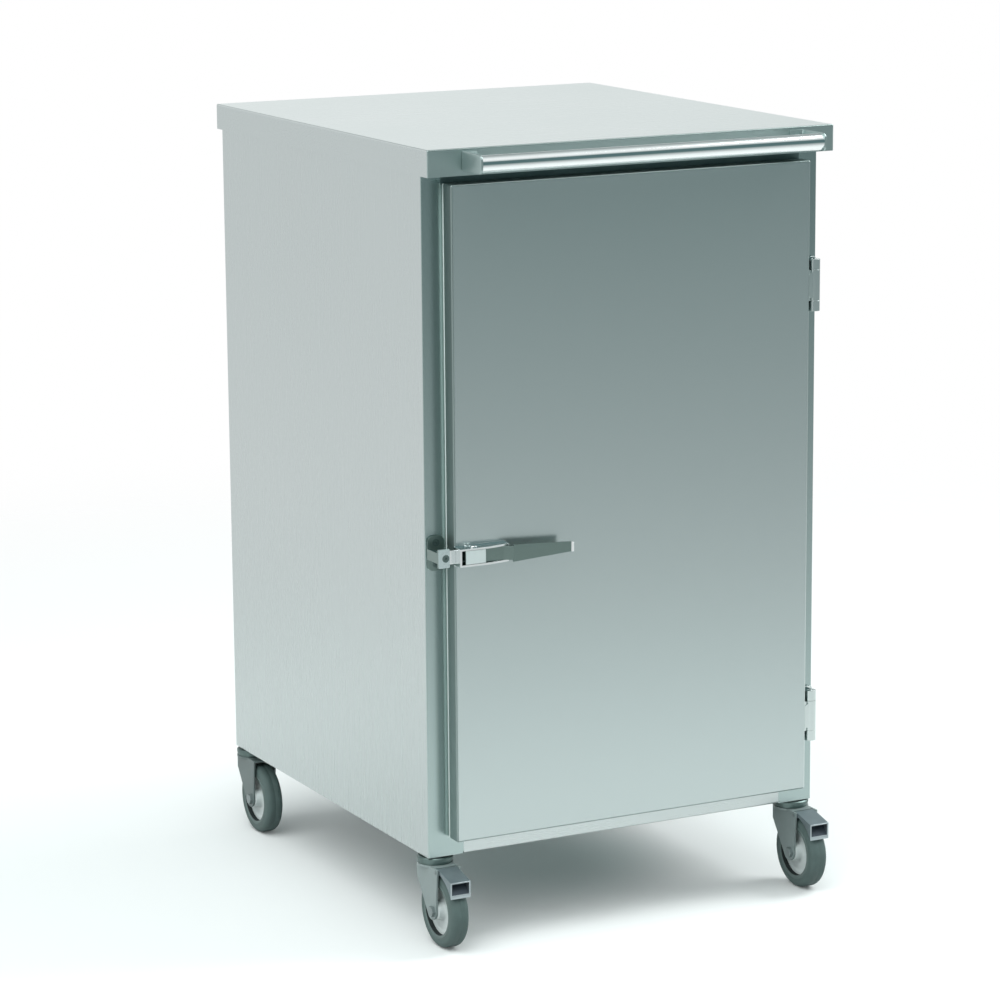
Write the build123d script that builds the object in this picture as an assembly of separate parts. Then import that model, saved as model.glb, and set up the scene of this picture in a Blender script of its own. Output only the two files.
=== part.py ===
from build123d import *
from math import cos, pi, radians, sin, sqrt
import os

# Worktop
TOP_WIDTH = 600.0
TOP_DEPTH = 675.0
HEIGHT = 1055.0
TOP_RIM = 35.0
TOP_SHEET = 1.5
TOP_EDGE_RADIUS = 2.0
TOP_RETURN = 20.0
SIDE_OVERHANG = 6.0
FRONT_OVERHANG = 32.0
REAR_OVERHANG = 4.0
STIFFENER_WIDTH = 60.0
STIFFENER_HEIGHT = 24.0
STIFFENER_FLANGE = 15.0

# Push bar
BAR_DIAMETER = 22.0
BAR_WALL = 1.5
BAR_REACH = 57.5
BAR_INSET = 47.0
BAR_DROP = 16.0
BAR_LEG_SHEET = 3.0
BAR_LEG_TALL = 24.0
BAR_LEG_BEND = 4.5
BAR_LEG_ROUND = 7.0
BAR_FLANGE = 22.0
BAR_SCREW = 8.0
BAR_NUT_SIZE = 13.0
BAR_NUT_HEIGHT = 6.5

# Cabinet
SHEET = 1.2
BEND = 2.4
STILE_WIDTH = 52.0
STILE_RETURN = 20.0
TOP_RAIL_HEIGHT = 35.0
RAIL_RETURN = 20.0
REAR_FLANGE = 20.0
TOP_FLANGE = 25.0
FLOOR_UPSTAND = 12.0
BASE_HEIGHT = 45.0
BASE_RAIL_WIDTH = 36.0
BASE_SHEET = 2.5
BASE_BEND = 3.6
CROSS_WIDTH = 40.0
CROSS_OFFSET = 80.0

# Shelves
SHELF_COUNT = 2
SHELF_SHEET = 1.2
SHELF_EDGE = 25.0
SHELF_HEM = 12.0
SHELF_SIDE_GAP = 1.0
SHELF_FRONT_GAP = 40.0
SHELF_REAR_GAP = 15.0
UPRIGHT_WIDTH = 30.0
UPRIGHT_DEPTH = 12.0
UPRIGHT_END_GAP = 12.0
UPRIGHT_INSET = 80.0
SLOT_PITCH = 50.0
SLOT_HEIGHT = 12.0
SLOT_WIDTH = 4.0
CLIP_WIDTH = 18.0
CLIP_HEIGHT = 22.0
CLIP_REACH = 14.0
CLIP_SHEET = 2.0

# Door
DOOR_SIDE_REVEAL = 28.0
DOOR_TOP_REVEAL = 11.0
DOOR_BOTTOM_REVEAL = 25.5
DOOR_THICKNESS = 22.0
DOOR_STANDOFF = 8.0
DOOR_LIP = 24.0
LINER_SHEET = 1.0
LINER_RISE = 5.0
LINER_CLEARANCE = 1.5
GASKET_WIDTH = 14.0
GASKET_INSET = 1.0
GASKET_GAP = 0.3
GASKET_ROUND = 3.0

# Hinges
HINGE_HEIGHT = 70.0
HINGE_END_KNUCKLE = 14.0
HINGE_KNUCKLE_RADIUS = 8.0
HINGE_PIN_RADIUS = 3.5
HINGE_PIN_FIT = 0.05
HINGE_AXIS_OUT = 11.5
HINGE_AXIS_FORWARD = 22.5
HINGE_UPPER_DROP = 168.0
HINGE_LOWER_RISE = 101.5
HINGE_LEAF = 4.0
HINGE_DOOR_LEAF = 3.0
HINGE_WEB = 9.0
HINGE_SECTION_GAP = 0.3
HINGE_TAPER = 6.0

# Latch
LATCH_HEIGHT = 530.0
LATCH_OUTBOARD = 1.5
LATCH_LENGTH = 75.0
LATCH_TALL = 23.6
LATCH_LEDGE = 1.5
LATCH_PLATE = 2.0
LATCH_FLANGE = 2.5
LATCH_DEPTH = 18.5
LATCH_TOE_DEPTH = 13.0
LATCH_STRAIGHT = 44.0
LATCH_RETURN = 3.0
LATCH_PIN_X = 23.0
LATCH_PIN_OUT = 11.5
LATCH_PIN_RADIUS = 2.5
LATCH_PIN_HEAD = 2.0
LATCH_PIN_FIT = 0.05
LEVER_GAP = 0.4
LEVER_HUB_RADIUS = 5.5
LEVER_BOSS = 28.6
LEVER_WAIST = 3.6
LEVER_BEND_RUN = 11.0
LEVER_STANDOFF = 4.0
LEVER_REACH = 139.5
LEVER_THICK = 3.0
LEVER_TALL = 22.6
LEVER_TIP_TALL = 12.8
LEVER_LIP = 2.5
LEVER_SWING = 34.0
BOLT_THICK = 3.5
BOLT_RIB = 4.0
BOLT_SIDE_GAP = 0.3
BOLT_NOSE = 9.5
BOLT_TAIL = 10.0
FINGER_RADIUS = 1.8
FINGER_ARM = 7.4
FINGER_CLEARANCE = 0.6
SPRING_WIRE = 0.8
SPRING_TURNS = 4
SPRING_PITCH = 1.2

# Keeper
KEEPER_TALL = 24.8
KEEPER_WIDTH = 16.5
KEEPER_ROUND = 1.5
KEEPER_WEB = 4.0
KEEPER_WEB_TALL = 14.0
KEEPER_FOOT = 24.0
KEEPER_FOOT_TALL = 46.0
KEEPER_PLATE = 3.0
KEEPER_LIP = 3.0
KEEPER_BOLT_GAP = 0.5

# Castors
WHEEL_DIAMETER = 100.0
TYRE_WIDTH = 25.0
TYRE_ROUND = 7.0
RIM_RADIUS = 33.0
RIM_RECESS = 6.5
RIM_WEB = 9.0
HUB_RADIUS = 12.0
AXLE_RADIUS = 4.0
AXLE_FIT = 0.05
FORK_SHEET = 2.5
FORK_CROWN = 3.0
FORK_GAP = 2.5
FORK_SIDE_GAP = 0.3
FORK_END_RADIUS = 13.0
FORK_END_BEHIND = 4.5
TYRE_TOP_GAP = 6.0
SWIVEL_TRAIL = 28.0
SWIVEL_RADIUS = 24.0
RACE_HEIGHT = 4.5
RACE_WIDTH = 6.0
HEAD_DISC = 5.0
HEAD_BOSS = 1.5
HEAD_BOSS_RADIUS = 15.0
NECK_RADIUS = 8.0
NECK_FIT = 0.3
RIVET_RADIUS = 12.0
RIVET_THICK = 2.0
STEM_RADIUS = 6.0
STEM_HOLE_FIT = 0.5
STEM_LENGTH = 18.0
STEM_NUT_SIZE = 19.0
STEM_NUT_HEIGHT = 10.0
CASTOR_FRONT_INSET = 20.0
CASTOR_REAR_INSET = 20.0

# Brake pedals
PEDAL_WIDTH = 29.0
PEDAL_SHEET = 2.0
PEDAL_REACH = 47.0
PEDAL_PIN_AHEAD = 8.0
PEDAL_PIN_RADIUS = 2.5
PEDAL_CURL_RADIUS = 4.5
PEDAL_SHOE_GAP = 4.5
PEDAL_TOP_SLOPE = 9.0
PEDAL_CROWN_GAP = 0.5

# Screws
SCREW_RADIUS = 2.5
SCREW_HEAD_RADIUS = 5.0
SCREW_HEAD = 2.6
SCREW_LENGTH = 10.0

# Places worked out from the sizes above
OVERALL_DEPTH = TOP_DEPTH + BAR_REACH
TOP_BACK_Y = OVERALL_DEPTH / 2
TOP_FRONT_Y = TOP_BACK_Y - TOP_DEPTH
BOLT_TALL = LATCH_TALL - 2 * LATCH_FLANGE - 2 * BOLT_SIDE_GAP
HALF_WIDTH = TOP_WIDTH / 2 - SIDE_OVERHANG
FRONT_Y = TOP_FRONT_Y + FRONT_OVERHANG
BACK_Y = TOP_BACK_Y - REAR_OVERHANG
WHEEL_RADIUS = WHEEL_DIAMETER / 2
CROWN_BOTTOM_Z = WHEEL_DIAMETER + TYRE_TOP_GAP
CROWN_TOP_Z = CROWN_BOTTOM_Z + FORK_CROWN
RACE_TOP_Z = CROWN_TOP_Z + RACE_HEIGHT
CARCASS_BOTTOM_Z = RACE_TOP_Z + HEAD_DISC + HEAD_BOSS
CARCASS_TOP_Z = HEIGHT - TOP_RIM
WALL_TOP_Z = CARCASS_TOP_Z - SHEET
FLOOR_Z = CARCASS_BOTTOM_Z + BASE_HEIGHT
FLOOR_TOP_Z = FLOOR_Z + SHEET
OPENING_HALF = HALF_WIDTH - STILE_WIDTH
INNER_HALF = HALF_WIDTH - SHEET
BACK_INNER_Y = BACK_Y - 2 * SHEET
DOOR_HALF = HALF_WIDTH - DOOR_SIDE_REVEAL
DOOR_TOP_Z = CARCASS_TOP_Z - DOOR_TOP_REVEAL
DOOR_BOTTOM_Z = CARCASS_BOTTOM_Z + DOOR_BOTTOM_REVEAL
DOOR_BACK_Y = FRONT_Y - DOOR_STANDOFF
DOOR_FRONT_Y = DOOR_BACK_Y - DOOR_THICKNESS
CASTOR_X = HALF_WIDTH - SHEET - BASE_RAIL_WIDTH / 2
CASTOR_FRONT_Y = FRONT_Y + CASTOR_FRONT_INSET
CASTOR_REAR_Y = BACK_Y - CASTOR_REAR_INSET
CASTORS = {
    "front_left": (-CASTOR_X, CASTOR_FRONT_Y, True),
    "front_right": (CASTOR_X, CASTOR_FRONT_Y, True),
    "rear_left": (-CASTOR_X, CASTOR_REAR_Y, False),
    "rear_right": (CASTOR_X, CASTOR_REAR_Y, False),
}
HINGE_X = DOOR_HALF + HINGE_AXIS_OUT
HINGE_Y = FRONT_Y - HINGE_AXIS_FORWARD
HINGE_UPPER_Z = DOOR_TOP_Z - HINGE_UPPER_DROP
HINGE_LOWER_Z = DOOR_BOTTOM_Z + HINGE_LOWER_RISE


def slab(x_range, y_range, z_range):
    """A plain block between three pairs of limits."""
    size = [high - low for low, high in (x_range, y_range, z_range)]
    centre = [(high + low) / 2 for low, high in (x_range, y_range, z_range)]
    return Pos(*centre) * Box(*size)


def folded(path, sheet, bend, length, plane=Plane.XY):
    """A sheet bent along a path of outer corners, with its wall on the path's left."""
    line = FilletPolyline(*path, radius=bend)
    section = make_face(offset(line, amount=sheet, side=Side.LEFT))
    return extrude(plane * section, amount=length)


def folded_along_x(path, sheet, bend, half_length):
    """A folded sheet whose section lies in Y and Z, centred on X."""
    return folded(path, sheet, bend, 2 * half_length, Plane.YZ.offset(-half_length))


def rod(radius, length, x=0.0, y=0.0, z=0.0):
    """An upright cylinder standing on z."""
    return Pos(x, y, z) * Cylinder(radius, length, align=(Align.CENTER, Align.CENTER, Align.MIN))


def cross_rod(radius, half_length, y, z):
    """A cylinder along X, centred on x = 0."""
    return Pos(0, y, z) * Rot(0, 90, 0) * Cylinder(radius, 2 * half_length)


def countersunk_screw(length=SCREW_LENGTH):
    """A countersunk screw along -Z with its flat head on z = 0."""
    profile = Polyline(
        (0, 0),
        (SCREW_HEAD_RADIUS, 0),
        (SCREW_RADIUS, -SCREW_HEAD),
        (SCREW_RADIUS, -length),
        (0, -length),
        close=True,
    )
    socket = Pos(0, 0, -SCREW_HEAD / 2) * extrude(RegularPolygon(SCREW_RADIUS * 0.7, 6), SCREW_HEAD)
    return revolve(Plane.XZ * make_face(profile), Axis.Z) - socket


def countersink(length=SCREW_LENGTH):
    """The space that a countersunk screw fills, without its socket."""
    profile = Polyline(
        (0, 0),
        (SCREW_HEAD_RADIUS, 0),
        (SCREW_RADIUS, -SCREW_HEAD),
        (SCREW_RADIUS, -length),
        (0, -length),
        close=True,
    )
    return revolve(Plane.XZ * make_face(profile), Axis.Z)


def drilled(shape, places, length=SCREW_LENGTH):
    """Cuts the room for countersunk screws at each of the places."""
    for place in places:
        shape -= place * countersink(length)
    return shape


def facing_front(x, y, z):
    """Places a screw so that its head faces the front, at -Y."""
    return Pos(x, y, z) * Rot(90, 0, 0)


def facing_right(x, y, z):
    """Places a screw so that its head faces +X."""
    return Pos(x, y, z) * Rot(0, 90, 0)


# Worktop and push bar


def make_top_plate():
    low, high = -TOP_WIDTH / 2, TOP_WIDTH / 2
    rim_z = CARCASS_TOP_Z
    shell = slab((low, high), (TOP_FRONT_Y, TOP_BACK_Y), (rim_z, HEIGHT))
    rounded = shell.edges().filter_by(Axis.Z) + shell.edges().group_by(Axis.Z)[-1]
    shell = fillet(rounded, TOP_EDGE_RADIUS)
    hollow = slab(
        (low + TOP_SHEET, high - TOP_SHEET),
        (TOP_FRONT_Y + TOP_SHEET, TOP_BACK_Y - TOP_SHEET),
        (rim_z + TOP_SHEET, HEIGHT - TOP_SHEET),
    )
    mouth = slab(
        (low + TOP_RETURN, high - TOP_RETURN),
        (TOP_FRONT_Y + FRONT_OVERHANG + TOP_RETURN, TOP_BACK_Y - TOP_RETURN),
        (rim_z, rim_z + TOP_SHEET),
    )
    plate = shell - hollow - mouth
    for x in bar_screw_x():
        plate -= Pos(x, TOP_FRONT_Y, bar_z()) * Rot(90, 0, 0) * Cylinder(BAR_SCREW / 2, 4 * TOP_SHEET)
    return plate


def make_top_stiffeners():
    half = STIFFENER_WIDTH / 2
    top = HEIGHT - TOP_SHEET
    bottom = top - STIFFENER_HEIGHT
    path = [
        (-half - STIFFENER_FLANGE, top),
        (-half, top),
        (-half, bottom),
        (half, bottom),
        (half, top),
        (half + STIFFENER_FLANGE, top),
    ]
    hat = folded_along_x(path[::-1], TOP_SHEET, BEND, TOP_WIDTH / 2 - TOP_RETURN - TOP_SHEET)
    inset = TOP_DEPTH / 4
    return Compound(children=[Pos(0, TOP_FRONT_Y + inset, 0) * hat, Pos(0, TOP_BACK_Y - inset, 0) * hat])


def bar_z():
    return HEIGHT - BAR_DROP


def bar_leg_x():
    """Where the outer faces of the push bar's two legs lie."""
    x = TOP_WIDTH / 2 - BAR_INSET
    return (-x, x)


def bar_screw_x():
    x = bar_leg_x()[1] - BAR_LEG_SHEET - (BAR_FLANGE - BAR_LEG_SHEET) / 2
    return (-x, x)


def make_push_bar():
    """A round tube between two plate legs, each with a flange and a weld nut against the rim."""
    left, right = bar_leg_x()
    front = TOP_FRONT_Y - BAR_REACH
    path = [
        (left + BAR_FLANGE, TOP_FRONT_Y),
        (left, TOP_FRONT_Y),
        (left, front),
    ]
    leg = folded(path, BAR_LEG_SHEET, BAR_LEG_BEND, BAR_LEG_TALL, Plane.XY.offset(bar_z() - BAR_LEG_TALL / 2))
    leg = fillet(leg.edges().filter_by(Axis.X).group_by(Axis.Y)[0], BAR_LEG_ROUND)
    flange_front = TOP_FRONT_Y - BAR_LEG_SHEET
    nut = extrude(RegularPolygon(BAR_NUT_SIZE / 2, 6, major_radius=False), BAR_NUT_HEIGHT)
    leg += Pos(bar_screw_x()[0], flange_front, bar_z()) * Rot(90, 0, 0) * nut
    hole = Cylinder(BAR_SCREW / 2, 4 * (BAR_NUT_HEIGHT + BAR_LEG_SHEET))
    leg -= Pos(bar_screw_x()[0], flange_front, bar_z()) * Rot(90, 0, 0) * hole
    tube_length = right - left - 2 * BAR_LEG_SHEET
    tube = Cylinder(BAR_DIAMETER / 2, tube_length) - Cylinder(BAR_DIAMETER / 2 - BAR_WALL, tube_length)
    tube = Pos(0, front + BAR_DIAMETER / 2, bar_z()) * Rot(0, 90, 0) * tube
    return tube + leg + mirror(leg, about=Plane.YZ)


def make_bar_screws():
    head = extrude(RegularPolygon(BAR_SCREW * 0.8, 6), BAR_SCREW * 0.65)
    head = fillet(head.edges().group_by(Axis.Z)[-1], 0.6)
    length = TOP_SHEET + BAR_LEG_SHEET + BAR_NUT_HEIGHT + 1
    screw = head + rod(BAR_SCREW / 2, length, z=-length)
    places = [Pos(x, TOP_FRONT_Y + TOP_SHEET, bar_z()) * Rot(-90, 0, 0) for x in bar_screw_x()]
    return Compound(children=[place * screw for place in places])


# Cabinet sheets


def make_left_side_panel():
    path = [
        (-HALF_WIDTH + REAR_FLANGE, BACK_Y),
        (-HALF_WIDTH, BACK_Y),
        (-HALF_WIDTH, FRONT_Y),
        (-OPENING_HALF, FRONT_Y),
        (-OPENING_HALF, FRONT_Y + STILE_RETURN),
    ]
    wall = folded(path, SHEET, BEND, WALL_TOP_Z - CARCASS_BOTTOM_Z, Plane.XY.offset(CARCASS_BOTTOM_Z))
    flange = slab(
        (-INNER_HALF, -INNER_HALF + TOP_FLANGE),
        (FRONT_Y + STILE_RETURN + SHEET, BACK_INNER_Y - SHEET),
        (WALL_TOP_Z - SHEET, WALL_TOP_Z),
    )
    corner = flange.edges().filter_by(Axis.Z).sort_by(Axis.X)[-2:]
    wall += fillet(corner, TOP_FLANGE / 3)
    for low, high in rail_levels():
        weld = ((-OPENING_HALF - BEND, -OPENING_HALF), (FRONT_Y, FRONT_Y + SHEET))
        wall += slab(*weld, (low + BEND, high - BEND))
    return wall


def rail_levels():
    """The heights between which the bottom and the top rail cross the front."""
    return ((CARCASS_BOTTOM_Z, FLOOR_Z), (CARCASS_TOP_Z - TOP_RAIL_HEIGHT, WALL_TOP_Z))


def make_back_panel():
    half = HALF_WIDTH - BEND
    sheet = slab((-half, half), (BACK_INNER_Y, BACK_Y - SHEET), (CARCASS_BOTTOM_Z, WALL_TOP_Z))
    rail_mouth = INNER_HALF - BASE_RAIL_WIDTH - BASE_SHEET
    path = [
        (BACK_INNER_Y - REAR_FLANGE, CARCASS_BOTTOM_Z),
        (BACK_Y - SHEET, CARCASS_BOTTOM_Z),
        (BACK_Y - SHEET, CARCASS_BOTTOM_Z + REAR_FLANGE),
    ]
    return sheet + folded_along_x(path, SHEET, BEND, rail_mouth)


def make_roof_panel():
    outline = Rectangle(2 * HALF_WIDTH, BACK_Y - FRONT_Y)
    outline = fillet(outline.vertices(), BEND)
    place = Pos(0, (BACK_Y + FRONT_Y) / 2, WALL_TOP_Z)
    return place * extrude(outline, SHEET)


def make_floor_panel():
    rear_y = BACK_INNER_Y
    tray_y = FRONT_Y + STILE_RETURN + SHEET
    path = [
        (-INNER_HALF, FLOOR_Z + FLOOR_UPSTAND),
        (-INNER_HALF, FLOOR_Z),
        (INNER_HALF, FLOOR_Z),
        (INNER_HALF, FLOOR_Z + FLOOR_UPSTAND),
    ]
    tray = folded(path, SHEET, BEND, rear_y - tray_y, Plane.XZ.offset(-rear_y))
    tongue = slab((-OPENING_HALF, OPENING_HALF), (FRONT_Y, tray_y), (FLOOR_Z, FLOOR_TOP_Z))
    return tray + tongue


def make_front_rail(low, high):
    path = [
        (FRONT_Y + RAIL_RETURN, high),
        (FRONT_Y, high),
        (FRONT_Y, low),
        (FRONT_Y + RAIL_RETURN, low),
    ]
    return folded_along_x(path, SHEET, BEND, OPENING_HALF)


def make_base_rail(side):
    outer = INNER_HALF
    inner = outer - BASE_RAIL_WIDTH
    start_y = FRONT_Y + BEND
    path = [
        (-inner, FLOOR_Z),
        (-outer, FLOOR_Z),
        (-outer, CARCASS_BOTTOM_Z),
        (-inner, CARCASS_BOTTOM_Z),
    ]
    rail = folded(path, BASE_SHEET, BASE_BEND, BACK_INNER_Y - start_y, Plane.XZ.offset(-BACK_INNER_Y))
    hole = Cylinder(STEM_RADIUS + STEM_HOLE_FIT, 4 * BASE_SHEET)
    for y in (CASTOR_FRONT_Y, CASTOR_REAR_Y):
        rail -= Pos(-CASTOR_X, y, CARCASS_BOTTOM_Z) * hole
    return rail if side < 0 else mirror(rail, about=Plane.YZ)


def make_base_cross_members():
    low = CARCASS_BOTTOM_Z + BASE_SHEET
    high = FLOOR_Z - BASE_SHEET
    half = CROSS_WIDTH / 2
    path = [(half, low), (half, high), (-half, high), (-half, low)]
    channel = folded_along_x(path, SHEET, BEND, HALF_WIDTH - SHEET - BASE_BEND)
    places = (CASTOR_FRONT_Y + CROSS_OFFSET, CASTOR_REAR_Y - CROSS_OFFSET)
    return Compound(children=[Pos(0, y, 0) * channel for y in places])


# Shelves


def upright_places():
    return [
        (side * INNER_HALF, y, side)
        for side in (-1, 1)
        for y in (FRONT_Y + UPRIGHT_INSET, BACK_INNER_Y - UPRIGHT_INSET)
    ]


def shelf_levels():
    step = (WALL_TOP_Z - FLOOR_TOP_Z) / (SHELF_COUNT + 1)
    return [FLOOR_TOP_Z + step * (number + 1) for number in range(SHELF_COUNT)]


def make_upright():
    """A slotted channel against the left wall, with its web towards the middle."""
    half = UPRIGHT_WIDTH / 2
    path = [(0, -half), (UPRIGHT_DEPTH, -half), (UPRIGHT_DEPTH, half), (0, half)]
    low = FLOOR_TOP_Z + UPRIGHT_END_GAP
    high = WALL_TOP_Z - SHEET - UPRIGHT_END_GAP
    channel = folded(path, SHEET, BEND, high - low, Plane.XY.offset(low))
    count = int((high - low) / SLOT_PITCH)
    slot = Box(4 * SHEET, SLOT_WIDTH, SLOT_HEIGHT)
    for number in range(count):
        channel -= Pos(UPRIGHT_DEPTH, 0, low + SLOT_PITCH * (number + 0.5)) * slot
    return channel


def make_uprights():
    upright = make_upright()
    children = []
    for x, y, side in upright_places():
        piece = upright if side < 0 else mirror(upright, about=Plane.YZ)
        children.append(Pos(x, y, 0) * piece)
    return Compound(children=children)


def make_shelf(level):
    front = FRONT_Y + SHELF_FRONT_GAP
    rear = BACK_INNER_Y - SHELF_REAR_GAP
    low = level - SHELF_EDGE
    path = [(rear - SHELF_HEM, low), (rear, low), (rear, level), (front, level), (front, low), (front + SHELF_HEM, low)]
    half = INNER_HALF - UPRIGHT_DEPTH - SHELF_SIDE_GAP
    return folded_along_x(path, SHELF_SHEET, BEND, half)


def make_shelf_clips():
    half = CLIP_WIDTH / 2
    children = []
    for level in shelf_levels():
        for x, y, side in upright_places():
            seat = level - SHELF_SHEET
            path = [(0, seat - CLIP_HEIGHT), (0, seat), (CLIP_REACH, seat)]
            clip = folded(path[::-1], CLIP_SHEET, BEND, CLIP_WIDTH, Plane.XZ.offset(-half))
            piece = clip if side < 0 else mirror(clip, about=Plane.YZ)
            children.append(Pos(x - side * UPRIGHT_DEPTH, y, 0) * piece)
    return Compound(children=children)


# Door


def make_door_outer_skin():
    shell = slab((-DOOR_HALF, DOOR_HALF), (DOOR_FRONT_Y, DOOR_BACK_Y), (DOOR_BOTTOM_Z, DOOR_TOP_Z))
    rounded = shell.edges().filter_by(Axis.Y) + shell.edges().group_by(Axis.Y)[0]
    shell = fillet(rounded, BEND)
    hollow = slab(
        (-DOOR_HALF + SHEET, DOOR_HALF - SHEET),
        (DOOR_FRONT_Y + SHEET, DOOR_BACK_Y - SHEET),
        (DOOR_BOTTOM_Z + SHEET, DOOR_TOP_Z - SHEET),
    )
    mouth = slab(
        (-DOOR_HALF + DOOR_LIP, DOOR_HALF - DOOR_LIP),
        (DOOR_BACK_Y - SHEET, DOOR_BACK_Y),
        (DOOR_BOTTOM_Z + DOOR_LIP, DOOR_TOP_Z - DOOR_LIP),
    )
    return shell - hollow - mouth


def make_door_inner_liner():
    """A pressed sheet held behind the skin's lip, its middle raised towards the cabinet."""
    inset = DOOR_LIP + LINER_CLEARANCE
    plate_y = DOOR_BACK_Y - SHEET
    plate = slab(
        (-DOOR_HALF + SHEET, DOOR_HALF - SHEET),
        (plate_y - LINER_SHEET, plate_y),
        (DOOR_BOTTOM_Z + SHEET, DOOR_TOP_Z - SHEET),
    )
    raised = slab(
        (-DOOR_HALF + inset, DOOR_HALF - inset),
        (plate_y - LINER_SHEET, plate_y + LINER_RISE),
        (DOOR_BOTTOM_Z + inset, DOOR_TOP_Z - inset),
    )
    raised = fillet(raised.edges().filter_by(Axis.Y) + raised.edges().group_by(Axis.Y)[-1], BEND)
    dish = slab(
        (-DOOR_HALF + inset + LINER_SHEET, DOOR_HALF - inset - LINER_SHEET),
        (plate_y - 2 * LINER_SHEET, plate_y + LINER_RISE - LINER_SHEET),
        (DOOR_BOTTOM_Z + inset + LINER_SHEET, DOOR_TOP_Z - inset - LINER_SHEET),
    )
    return plate + raised - dish


def make_door_core():
    return slab(
        (-DOOR_HALF + SHEET, DOOR_HALF - SHEET),
        (DOOR_FRONT_Y + SHEET, DOOR_BACK_Y - SHEET - LINER_SHEET),
        (DOOR_BOTTOM_Z + SHEET, DOOR_TOP_Z - SHEET),
    )


def make_door_gasket():
    y_range = (DOOR_BACK_Y, FRONT_Y - GASKET_GAP)
    outer_x = DOOR_HALF - GASKET_INSET
    low = DOOR_BOTTOM_Z + GASKET_INSET
    high = DOOR_TOP_Z - GASKET_INSET
    ring = slab((-outer_x, outer_x), y_range, (low, high))
    ring = fillet(ring.edges().group_by(Axis.Y)[-1], GASKET_ROUND)
    hole = slab(
        (-outer_x + GASKET_WIDTH, outer_x - GASKET_WIDTH),
        (DOOR_BACK_Y - 1, FRONT_Y + 1),
        (low + GASKET_WIDTH, high - GASKET_WIDTH),
    )
    ring -= hole
    return ring


# Hinges, drawn with the pin axis on the Z axis and the middle at z = 0


def make_hinge_frame_leaf():
    half = HINGE_HEIGHT / 2
    inner = half - HINGE_END_KNUCKLE
    near = HINGE_AXIS_FORWARD - HINGE_LEAF
    left = -HINGE_AXIS_OUT + HINGE_LEAF / 2
    right = DOOR_SIDE_REVEAL - HINGE_AXIS_OUT - HINGE_LEAF / 2
    plate = slab((left, right), (near, HINGE_AXIS_FORWARD), (-half, half))
    leaf = fillet(plate.edges().filter_by(Axis.Y), HINGE_LEAF)
    for low, high in ((-half, -inner), (inner, half)):
        leaf += rod(HINGE_KNUCKLE_RADIUS, HINGE_END_KNUCKLE, z=low)
        leaf += slab((-HINGE_WEB / 2, HINGE_WEB / 2), (0, near), (low, high))
    leaf -= rod(HINGE_PIN_RADIUS, HINGE_HEIGHT + 2, z=-half - 1)
    return drilled(leaf, hinge_frame_screws())


def hinge_frame_screws():
    z = HINGE_HEIGHT / 2 - HINGE_END_KNUCKLE - SCREW_HEAD_RADIUS - HINGE_LEAF / 2
    return [facing_front(0, HINGE_AXIS_FORWARD - HINGE_LEAF, side * z) for side in (-1, 1)]


def make_hinge_door_leaf():
    """A plate on the door's edge with a web that widens to the middle knuckle."""
    half = HINGE_HEIGHT / 2 - HINGE_END_KNUCKLE - HINGE_SECTION_GAP
    face_x = -HINGE_AXIS_OUT
    front_y = DOOR_FRONT_Y - HINGE_Y + BEND
    back_y = DOOR_BACK_Y - HINGE_Y - BEND
    plate = slab((face_x, face_x + HINGE_DOOR_LEAF), (front_y, back_y), (-half, half))
    web = Polyline(
        (face_x, -half + HINGE_TAPER),
        (0, -half),
        (0, half),
        (face_x, half - HINGE_TAPER),
        close=True,
    )
    web = extrude(Plane.XZ * make_face(web), HINGE_KNUCKLE_RADIUS * 0.75)
    leaf = plate + web + rod(HINGE_KNUCKLE_RADIUS, 2 * half, z=-half)
    leaf -= rod(HINGE_PIN_RADIUS + HINGE_PIN_FIT, 2 * half + 2, z=-half - 1)
    return drilled(leaf, hinge_door_screws())


def hinge_door_screws():
    y = DOOR_BACK_Y - HINGE_Y - BEND - SCREW_HEAD_RADIUS - 1
    z = HINGE_HEIGHT / 2 - HINGE_END_KNUCKLE - SCREW_HEAD_RADIUS - 2 * HINGE_SECTION_GAP - 1
    return [facing_right(-HINGE_AXIS_OUT + HINGE_DOOR_LEAF, y, side * z) for side in (-1, 1)]


def hinge_places():
    return [Pos(HINGE_X, HINGE_Y, z) for z in (HINGE_UPPER_Z, HINGE_LOWER_Z)]


def make_hinge_pins():
    pin = rod(HINGE_PIN_RADIUS, HINGE_HEIGHT, z=-HINGE_HEIGHT / 2)
    pin = chamfer(pin.edges(), 0.5)
    return Compound(children=[place * pin for place in hinge_places()])


# Keeper on the frame


def keeper_tip_x():
    return latch_left_x() - BOLT_NOSE - KEEPER_BOLT_GAP


def bolt_back_y():
    return DOOR_FRONT_Y - LATCH_PLATE - BOLT_SIDE_GAP


def make_keeper_foot():
    half = KEEPER_FOOT_TALL / 2
    left = -HALF_WIDTH + BEND
    plate = slab((left, left + KEEPER_FOOT), (FRONT_Y - KEEPER_PLATE, FRONT_Y), (LATCH_HEIGHT - half, LATCH_HEIGHT + half))
    plate = fillet(plate.edges().filter_by(Axis.Y), KEEPER_FOOT / 3)
    return drilled(plate, keeper_screws())


def keeper_screws():
    x = -HALF_WIDTH + BEND + KEEPER_FOOT / 2
    rise = KEEPER_WEB_TALL / 2 + SCREW_HEAD_RADIUS + 2
    return [facing_front(x, FRONT_Y - KEEPER_PLATE, LATCH_HEIGHT + side * rise) for side in (-1, 1)]


def keeper_lip_back():
    return bolt_back_y() - BOLT_THICK - BOLT_SIDE_GAP


def keeper_face_screw():
    x = keeper_tip_x() - SCREW_HEAD_RADIUS - KEEPER_ROUND / 2
    return facing_front(x, keeper_lip_back() - KEEPER_LIP, LATCH_HEIGHT)


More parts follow.
